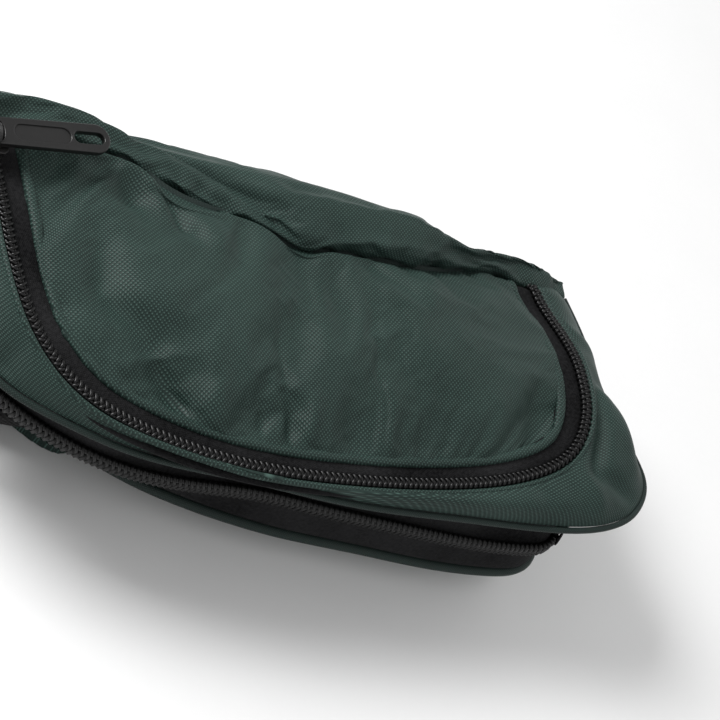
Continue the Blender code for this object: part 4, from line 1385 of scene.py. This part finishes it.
@dataclass(frozen=True)
class BackPanel:
    """The padded back with its quilted channels, foam sheet, inner divider and piped edge."""

    columns: int = 96
    rows: int = 48

    def outline(self, inset: float, count: int) -> Array:
        """Closed plan outline, inset by a distance: the near line, then the right, far and left sides."""
        near = BACK_LINE.points
        rest = (
            (101.5, -34), (101.8, -20), (101.8, 15), (100, 30), (92, 41), (78, 46), (40, 47.6), (0, 48),
            (-40, 47.6),
            (-78, 46), (-92, 41), (-99, 30), (-97.5, 17),
        )
        line = Guide((*near, *rest, near[0])).sample(count + 1)[:-1]
        along = unit(np.roll(line, -1, axis=0) - np.roll(line, 1, axis=0))
        return line - np.stack([along[:, 1], -along[:, 0]], axis=1) * inset

    def _pad(self, name: str, inset: float, low: float, high: float, crown: float) -> bpy.types.Object:
        """A closed pad: rings shrink from the edge to the middle, and each face is crowned by 1 - r^6.

        Args:
            name: the piece's name.
            inset: distance in from the outline.
            low: level of the lower face's edge.
            high: level of the upper face's edge.
            crown: how far the faces swell.

        Returns:
            A closed mesh.
        """
        outline = self.outline(inset, 160)
        middle = outline.mean(axis=0)
        radius = np.concatenate([np.linspace(0.02, 1.0, 24), np.linspace(1.0, 0.02, 24)])
        level = np.concatenate([np.full(24, low), np.full(24, high)])
        swell = crown * (1.0 - radius**6)
        plan = middle + (outline - middle)[None] * radius[:, None, None]
        sign = np.concatenate([-np.ones(24), np.ones(24)])
        channels = 0.25 + 0.75 * np.abs(np.sin(plan[..., 0] * math.pi / (33.0 * MM))) ** 0.35
        z = level[:, None] + (sign * swell)[:, None] * channels
        grid = np.concatenate([plan, z[..., None]], axis=-1)
        faces = grid_faces(48, 160, wrap=True).tolist()
        faces += [list(range(160)), list(range(47 * 160, 48 * 160))]
        return turn_out(mesh_object(name, grid, faces, uv=plan))

    def build(self) -> None:
        """Build the pad, the foam, the piping and the lining between the pockets."""
        pad = self._pad("back_panel_pad", 0.8 * MM, 12.9 * MM, 15.2 * MM, 0.9 * MM)
        finish_piece(pad, Slot.FABRIC, "pack_back", "back_panel")
        foam = self._pad("back_foam_sheet", 7.0 * MM, 16.6 * MM, 18.0 * MM, 0.3 * MM)
        finish_piece(foam, Slot.FOAM, "pack_back", "back_foam")
        line = self.outline(0.2 * MM, 420)
        ring = np.concatenate([line, line[:1]], axis=0)
        points = np.concatenate([ring, np.full((len(ring), 1), 14.0 * MM)], axis=1)
        path = Path.on_surface(points, np.broadcast_to([0.0, 0.0, 1.0], points.shape))
        cord = tube_object("back_piping_cord", path, 1.6 * MM, 12)
        finish_piece(cord, Slot.TRIM, "pack_back", "back_piping")
        self._divider()

    def _divider(self) -> None:
        """The pocket's inner wall: a slack lining sheet 10 mm under the front surface."""
        plan = FlapPanel(columns=60, rows=28).plan()
        u = np.linspace(0.0, 1.0, 60)[:, None]
        v = np.linspace(0.0, 1.0, 28)[None, :]
        sag = -10.0 * MM * (np.sin(math.pi * u) * np.sin(math.pi * v)) ** 0.35
        sheet = sheet_object("pocket_divider_lining", FRONT.lay(plan, sag - 1.2 * MM), (0, 0, 1), uv=plan)
        finish_piece(thicken(sheet, 0.4 * MM), Slot.LINING, "pack_front", "pocket_divider")


@dataclass(frozen=True)
class BeltSide:
    """One folded belt wing with its webbing bundle and elastic keeper."""

    side: str
    sign: float
    near_limit: float = -18.0
    corner_draw: float = 26.0
    corner_span: tuple[float, float] = (0.050, 0.092)

    def build(self) -> None:
        """Build the wing's pad, the folded webbing and the keeper from the CAD nodes' boxes."""
        body = f"wing_{self.side}"
        low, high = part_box(f"wing_{self.side}")
        root = max(abs(low.x), abs(high.x))
        tip = min(abs(low.x), abs(high.x))
        wide = high.y
        along = np.linspace(0.0, 1.0, 40)
        half = wide * (1.0 - 0.47 * along) * np.minimum(1.0, ((1.0 - along) / 0.06 + 0.15)) ** 0.5
        x = self.sign * (root + (tip - root) * along)
        angle = np.linspace(0.0, 2.0 * math.pi, 28, endpoint=False)
        across, lift = np.cos(angle), np.sin(angle)
        y = half[:, None] * np.sign(across) * np.abs(across) ** 0.6
        if self.sign < 0:
            # The left wing's near side is drawn in towards its root, under the pack's rounded near corner.
            draw = smooth(*self.corner_span, np.abs(x))
            y = np.maximum(y, ((self.near_limit + self.corner_draw * draw) * MM)[:, None])
        z = 2.0 * MM + 1.9 * MM * (np.sign(lift) * np.abs(lift) ** 0.7)[None, :] * np.ones((40, 1))
        grid = np.stack([np.broadcast_to(x[:, None], y.shape), y, z], axis=-1)
        faces = grid_faces(40, 28, wrap=True).tolist() + [list(range(28)), list(range(39 * 28, 40 * 28))]
        wing = turn_out(mesh_object(f"{body}_pad", grid, faces, uv=grid[..., :2]))
        finish_piece(wing, Slot.FABRIC, body, f"wing_{self.side}")
        self._webbing(body)
        self._keeper(body)

    def _webbing(self, body: str) -> None:
        """One strap folded back and forth: a flat rounded profile along a zigzag with round turns."""
        low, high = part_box(f"webbing_{self.side}")
        layers = 3 if self.sign < 0 else 4
        step = (high.z - low.z) / layers
        ends = (abs(low.x), abs(high.x)) if self.sign > 0 else (abs(high.x), abs(low.x))
        near, far = min(ends) + step / 2, max(ends) - step / 2
        runs = []
        for layer in range(layers):
            z = low.z + step * (layer + 0.5)
            span = np.linspace(near, far, 16) if layer % 2 == 0 else np.linspace(far, near, 16)
            runs.append(np.stack([span * self.sign, np.zeros(16), np.full(16, z)], axis=1))
            if layer < layers - 1:
                turn = np.radians(np.linspace(-90.0, 90.0, 7)[1:-1])
                end, sign = (far, 1.0) if layer % 2 == 0 else (near, -1.0)
                across = self.sign * (end + sign * np.cos(turn) * step / 2)
                rise = z + step / 2 + np.sin(turn) * step / 2
                bend = np.stack([across, np.zeros(5), rise], axis=1)
                runs.append(bend)
        line = np.concatenate(runs)
        along = unit(np.gradient(line, axis=0))
        wide = np.broadcast_to([0.0, 1.0, 0.0], line.shape)
        path = Path(line, along, wide, unit(np.cross(along, wide)))
        half = (high.y - low.y) / 2
        thick = step * 0.43
        profile = np.array([
            (-1, -0.6), (-0.97, -1), (0, -1), (0.97, -1), (1, -0.6),
            (1, 0.6), (0.97, 1), (0, 1), (-0.97, 1), (-1, 0.6),
        ])
        grid = path.sweep(profile * (half, thick))
        faces = grid_faces(len(line), 10, wrap=True).tolist()
        faces += [list(range(10)), list(range(len(line) * 10 - 10, len(line) * 10))]
        down = np.broadcast_to(path.lengths()[:, None], grid.shape[:2])
        uv = np.stack([down, grid[..., 1]], axis=-1)
        strap = turn_out(mesh_object(f"webbing_{self.side}_strap", grid, faces, uv))
        finish_piece(strap, Slot.WEBBING, body, f"webbing_{self.side}")

    def _keeper(self, body: str) -> None:
        """An elastic loop round the bundle: a thin band along a rounded rectangle."""
        low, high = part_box(f"keeper_{self.side}")
        inset = 0.5 * MM
        ys, zs = (low.y + inset, high.y - inset), (low.z + inset, high.z - inset)
        radius = 1.4 * MM
        corners = (
            ((ys[1] - radius, zs[1] - radius), 0), ((ys[0] + radius, zs[1] - radius), 90),
            ((ys[0] + radius, zs[0] + radius), 180), ((ys[1] - radius, zs[0] + radius), 270),
        )
        loop = np.concatenate([arc(c, radius, start, start + 90, 6) for c, start in corners])
        xs = np.linspace(low.x, high.x, 9)
        grid = np.zeros((9, len(loop), 3))
        grid[..., 0] = xs[:, None]
        grid[..., 1:] = loop[None]
        around = np.concatenate([[0.0], np.cumsum(np.linalg.norm(np.diff(loop, axis=0), axis=1))])
        uv = np.stack([grid[..., 0], np.broadcast_to(around, grid.shape[:2])], axis=-1)
        band = mesh_object(f"keeper_{self.side}_elastic", grid, grid_faces(9, len(loop), wrap=True), uv)
        turn_out(band)
        thicken(band, 0.8 * MM, 0.0)
        finish_piece(band, Slot.WEBBING, body, f"keeper_{self.side}")


@dataclass(frozen=True)
class Hardware:
    """Buckle halves kept from the frame, and the zips' sliders and pullers."""

    plate: float = 1.15 * MM
    rim: float = 2.1 * MM

    def build(self) -> None:
        """Dress the buckle and build both sliders with their pullers."""
        for node in ("buckle_male", "buckle_female", "prong_near", "prong_far"):
            obj = frame["nodes"][node]
            soften_edges(obj, 0.45 * MM)
            dress(obj, Slot.PLASTIC)
            log.info("%s dressed", node)
        joints = {joint["name"]: joint for joint in frame["joints"]}
        seat = Vector((-0.0960, 0.0325, 0.0641))
        direction = Vector((0.985, 0.165, 0.03)).normalized()
        self._slider("pocket", seat, Vector((0.05, -0.98, -0.19)).normalized(), Vector((0.0, -0.19, 0.98)))
        self._puller(
            "pocket", seat + Vector((0.0, 0.0, 5.0 * MM)), direction, Vector((0.0, -0.19, 0.98)), 34.0 * MM
        )
        pivot = Vector(joints["main_puller_swing"]["pos_m"])
        out = (pivot - Vector(joints["main_slide"]["pos_m"])).normalized()
        along = Vector((-out.y, out.x, 0.0))
        self._slider("main", pivot - out * 5.4 * MM, -along, out)
        self._puller("main", pivot, Vector((0, 0, -1)), out, 27.0 * MM)

    @staticmethod
    def _stand(at: Vector, direction: Vector, up: Vector) -> Matrix:
        """Matrix that stands a local (X along, Z up) shape at a point."""
        x = direction.normalized()
        y = up.cross(x).normalized()
        z = x.cross(y)
        return Matrix(((x.x, y.x, z.x, at.x), (x.y, y.y, z.y, at.y), (x.z, y.z, z.z, at.z), (0, 0, 0, 1)))

    def _slider(self, name: str, seat: Vector, direction: Vector, up: Vector) -> None:
        """Two tapering shells joined by a post, with side flanges and a bail arched on top."""
        half, wide = 4.2 * MM, 4.1 * MM
        nose = np.concatenate([
            arc((-half + 2.6 * MM, 0.0), 2.6 * MM, 120, 240, 8), [(0.0, -wide), (half - 1.2 * MM, -wide)],
            [
                (half, -wide + 1.2 * MM), (half, -0.9 * MM), (half - 1.4 * MM, 0.0),
                (half, 0.9 * MM), (half, wide - 1.2 * MM),
            ],
            [(half - 1.2 * MM, wide), (0.0, wide)],
        ])
        post = arc((-2.4 * MM, 0.0), 0.45 * MM, 0, 345, 12)
        parts = [
            plate_object(name + "_top", [nose], 2.35 * MM, 3.2 * MM, 0.25 * MM),
            plate_object(name + "_under", [nose], -2.2 * MM, -1.2 * MM, 0.3 * MM),
            plate_object(name + "_post", [post], -1.6 * MM, 3.3 * MM, 0.05 * MM),
        ]
        turn = np.radians(np.linspace(0.0, 180.0, 15))
        rise = 3.0 * MM + 4.3 * MM * np.sin(turn) ** 0.6
        line = np.stack([-2.9 * MM * np.cos(turn), np.zeros(15), rise], axis=1)
        bail = Path.on_surface(line, np.broadcast_to([0.0, 1.0, 0.0], line.shape))
        parts.append(tube_object(name + "_bail", bail, 0.75 * MM, 10))
        body = joined(f"{name}_slider_body", parts)
        body.data.transform(self._stand(seat, direction, up))
        body.data.polygons.foreach_set("use_smooth", np.zeros(len(body.data.polygons), bool))
        finish_piece(turn_out(body), Slot.METAL, f"{name}_slider", f"{name}_slider")

    def _puller(self, name: str, pivot: Vector, direction: Vector, up: Vector, length: float) -> None:
        """A cast puller: a thin plate inside a raised rim, with an oval hole at the tip and at the heel."""
        wide = 4.25 * MM
        tip = length - wide
        turn = np.radians(np.linspace(96.0, 264.0, 15))
        heel_end = np.stack([1.2 * MM + 1.8 * MM * np.cos(turn), 3.9 * MM * np.sin(turn)], axis=1)
        outline = np.concatenate([arc((tip, 0.0), wide, -90, 90, 18), heel_end])
        hole = stadium(tip - 4.6 * MM, tip + 0.8 * MM, 1.75 * MM)
        circle = np.radians(np.linspace(0.0, 345.0, 24))
        heel = np.stack([2.0 * MM + 1.45 * MM * np.cos(circle), 2.95 * MM * np.sin(circle)], axis=1)
        recess = stadium(8.6 * MM, tip - 9.6 * MM, 2.3 * MM)
        thick = self.plate / 2
        parts = [plate_object(name + "_web", [outline, hole, heel], -thick, thick, 0.2 * MM)]
        frame_outline = [outline, hole, heel, recess]
        high = self.rim / 2
        parts.append(plate_object(name + "_frame", frame_outline, -high, high, 0.32 * MM))
        puller = joined(f"{name}_puller_cast", parts)
        puller.data.transform(self._stand(pivot, direction, up) @ Matrix.Translation((-1.7 * MM, 0, 0)))
        finish_piece(turn_out(puller), Slot.METAL, f"{name}_puller", f"{name}_puller")


# ---------------------------------------------------------------- studio


@dataclass(frozen=True)
class Studio:
    """A pale floor, soft lights and the camera."""

    eye: tuple[float, float, float] = (-0.25834, -0.28277, 0.40246)
    aim: tuple[float, float, float] = (0.0229, -0.00027, 0.047)
    roll: float = 44.73
    lens: float = 92.49

    def build(self) -> None:
        """Build the floor, the lights and the camera."""
        self._floor()
        self._light("key", (-0.62, 0.40, 0.70), 0.42, 11.0)
        self._light("fill", (0.3, -0.7, 0.9), 1.2, 2.4)
        self._light("rim", (0.8, 0.4, 0.6), 0.8, 1.5)
        world = bpy.data.worlds.new("studio")
        world.use_nodes = True
        background = world.node_tree.nodes["Background"]
        background.inputs["Color"].default_value = (1.0, 1.0, 1.0, 1.0)
        background.inputs["Strength"].default_value = 0.45
        bpy.context.scene.world = world
        bpy.context.scene.view_settings.view_transform = "Standard"
        self._camera()

    def _floor(self) -> None:
        """A wide pale sheet of paper with a faint tooth."""
        half = 4.0
        points = np.array([(-half, -half, 0.0), (half, -half, 0.0), (half, half, 0.0), (-half, half, 0.0)])
        floor = mesh_object("floor", points - (0.0, 0.0, 0.2 * MM), [[0, 1, 2, 3]])
        paper = Finish(
            "floor_paper", (0.86, 0.86, 0.86), (0.93, 0.93, 0.93), follow=Follow.SPACE, grain=400.0,
            grain_relief=0.00002, roughness=(0.8, 0.9),
        )
        floor.data.materials.append(paper.make())

    def _light(self, name: str, place: tuple[float, float, float], size: float, power: float) -> None:
        """A square soft light aimed at the pack."""
        lamp = bpy.data.lights.new(name, "AREA")
        lamp.energy = power
        lamp.size = size
        obj = bpy.data.objects.new(name, lamp)
        obj.location = place
        obj.rotation_euler = (Vector((0.0, 0.0, 0.04)) - Vector(place)).to_track_quat("-Z", "Y").to_euler()
        bpy.context.scene.collection.objects.link(obj)

    def _camera(self) -> None:
        """The camera looks from eye to aim and is rolled about its axis."""
        lens = bpy.data.cameras.new("camera")
        lens.lens = self.lens
        lens.clip_start = 0.01
        camera = bpy.data.objects.new("camera", lens)
        facing = (Vector(self.aim) - Vector(self.eye)).to_track_quat("-Z", "Y").to_matrix()
        turn = facing @ Matrix.Rotation(math.radians(self.roll), 3, "Z")
        camera.matrix_world = Matrix.Translation(self.eye) @ turn.to_4x4()
        bpy.context.scene.collection.objects.link(camera)
        bpy.context.scene.camera = camera


def main() -> None:
    """Build every sub-assembly in order."""
    logging.basicConfig(level=logging.INFO, format="%(message)s")
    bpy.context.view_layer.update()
    Studio().build()
    BackPanel().build()
    SideWalls().build()
    MainZip().build()
    PocketZip().build()
    FrontBorder().build()
    FlapPanel().build()
    RolledGusset().build()
    BeltSide("left", -1.0).build()
    BeltSide("right", 1.0).build()
    Hardware().build()


if __name__ == "__main__":
    main()
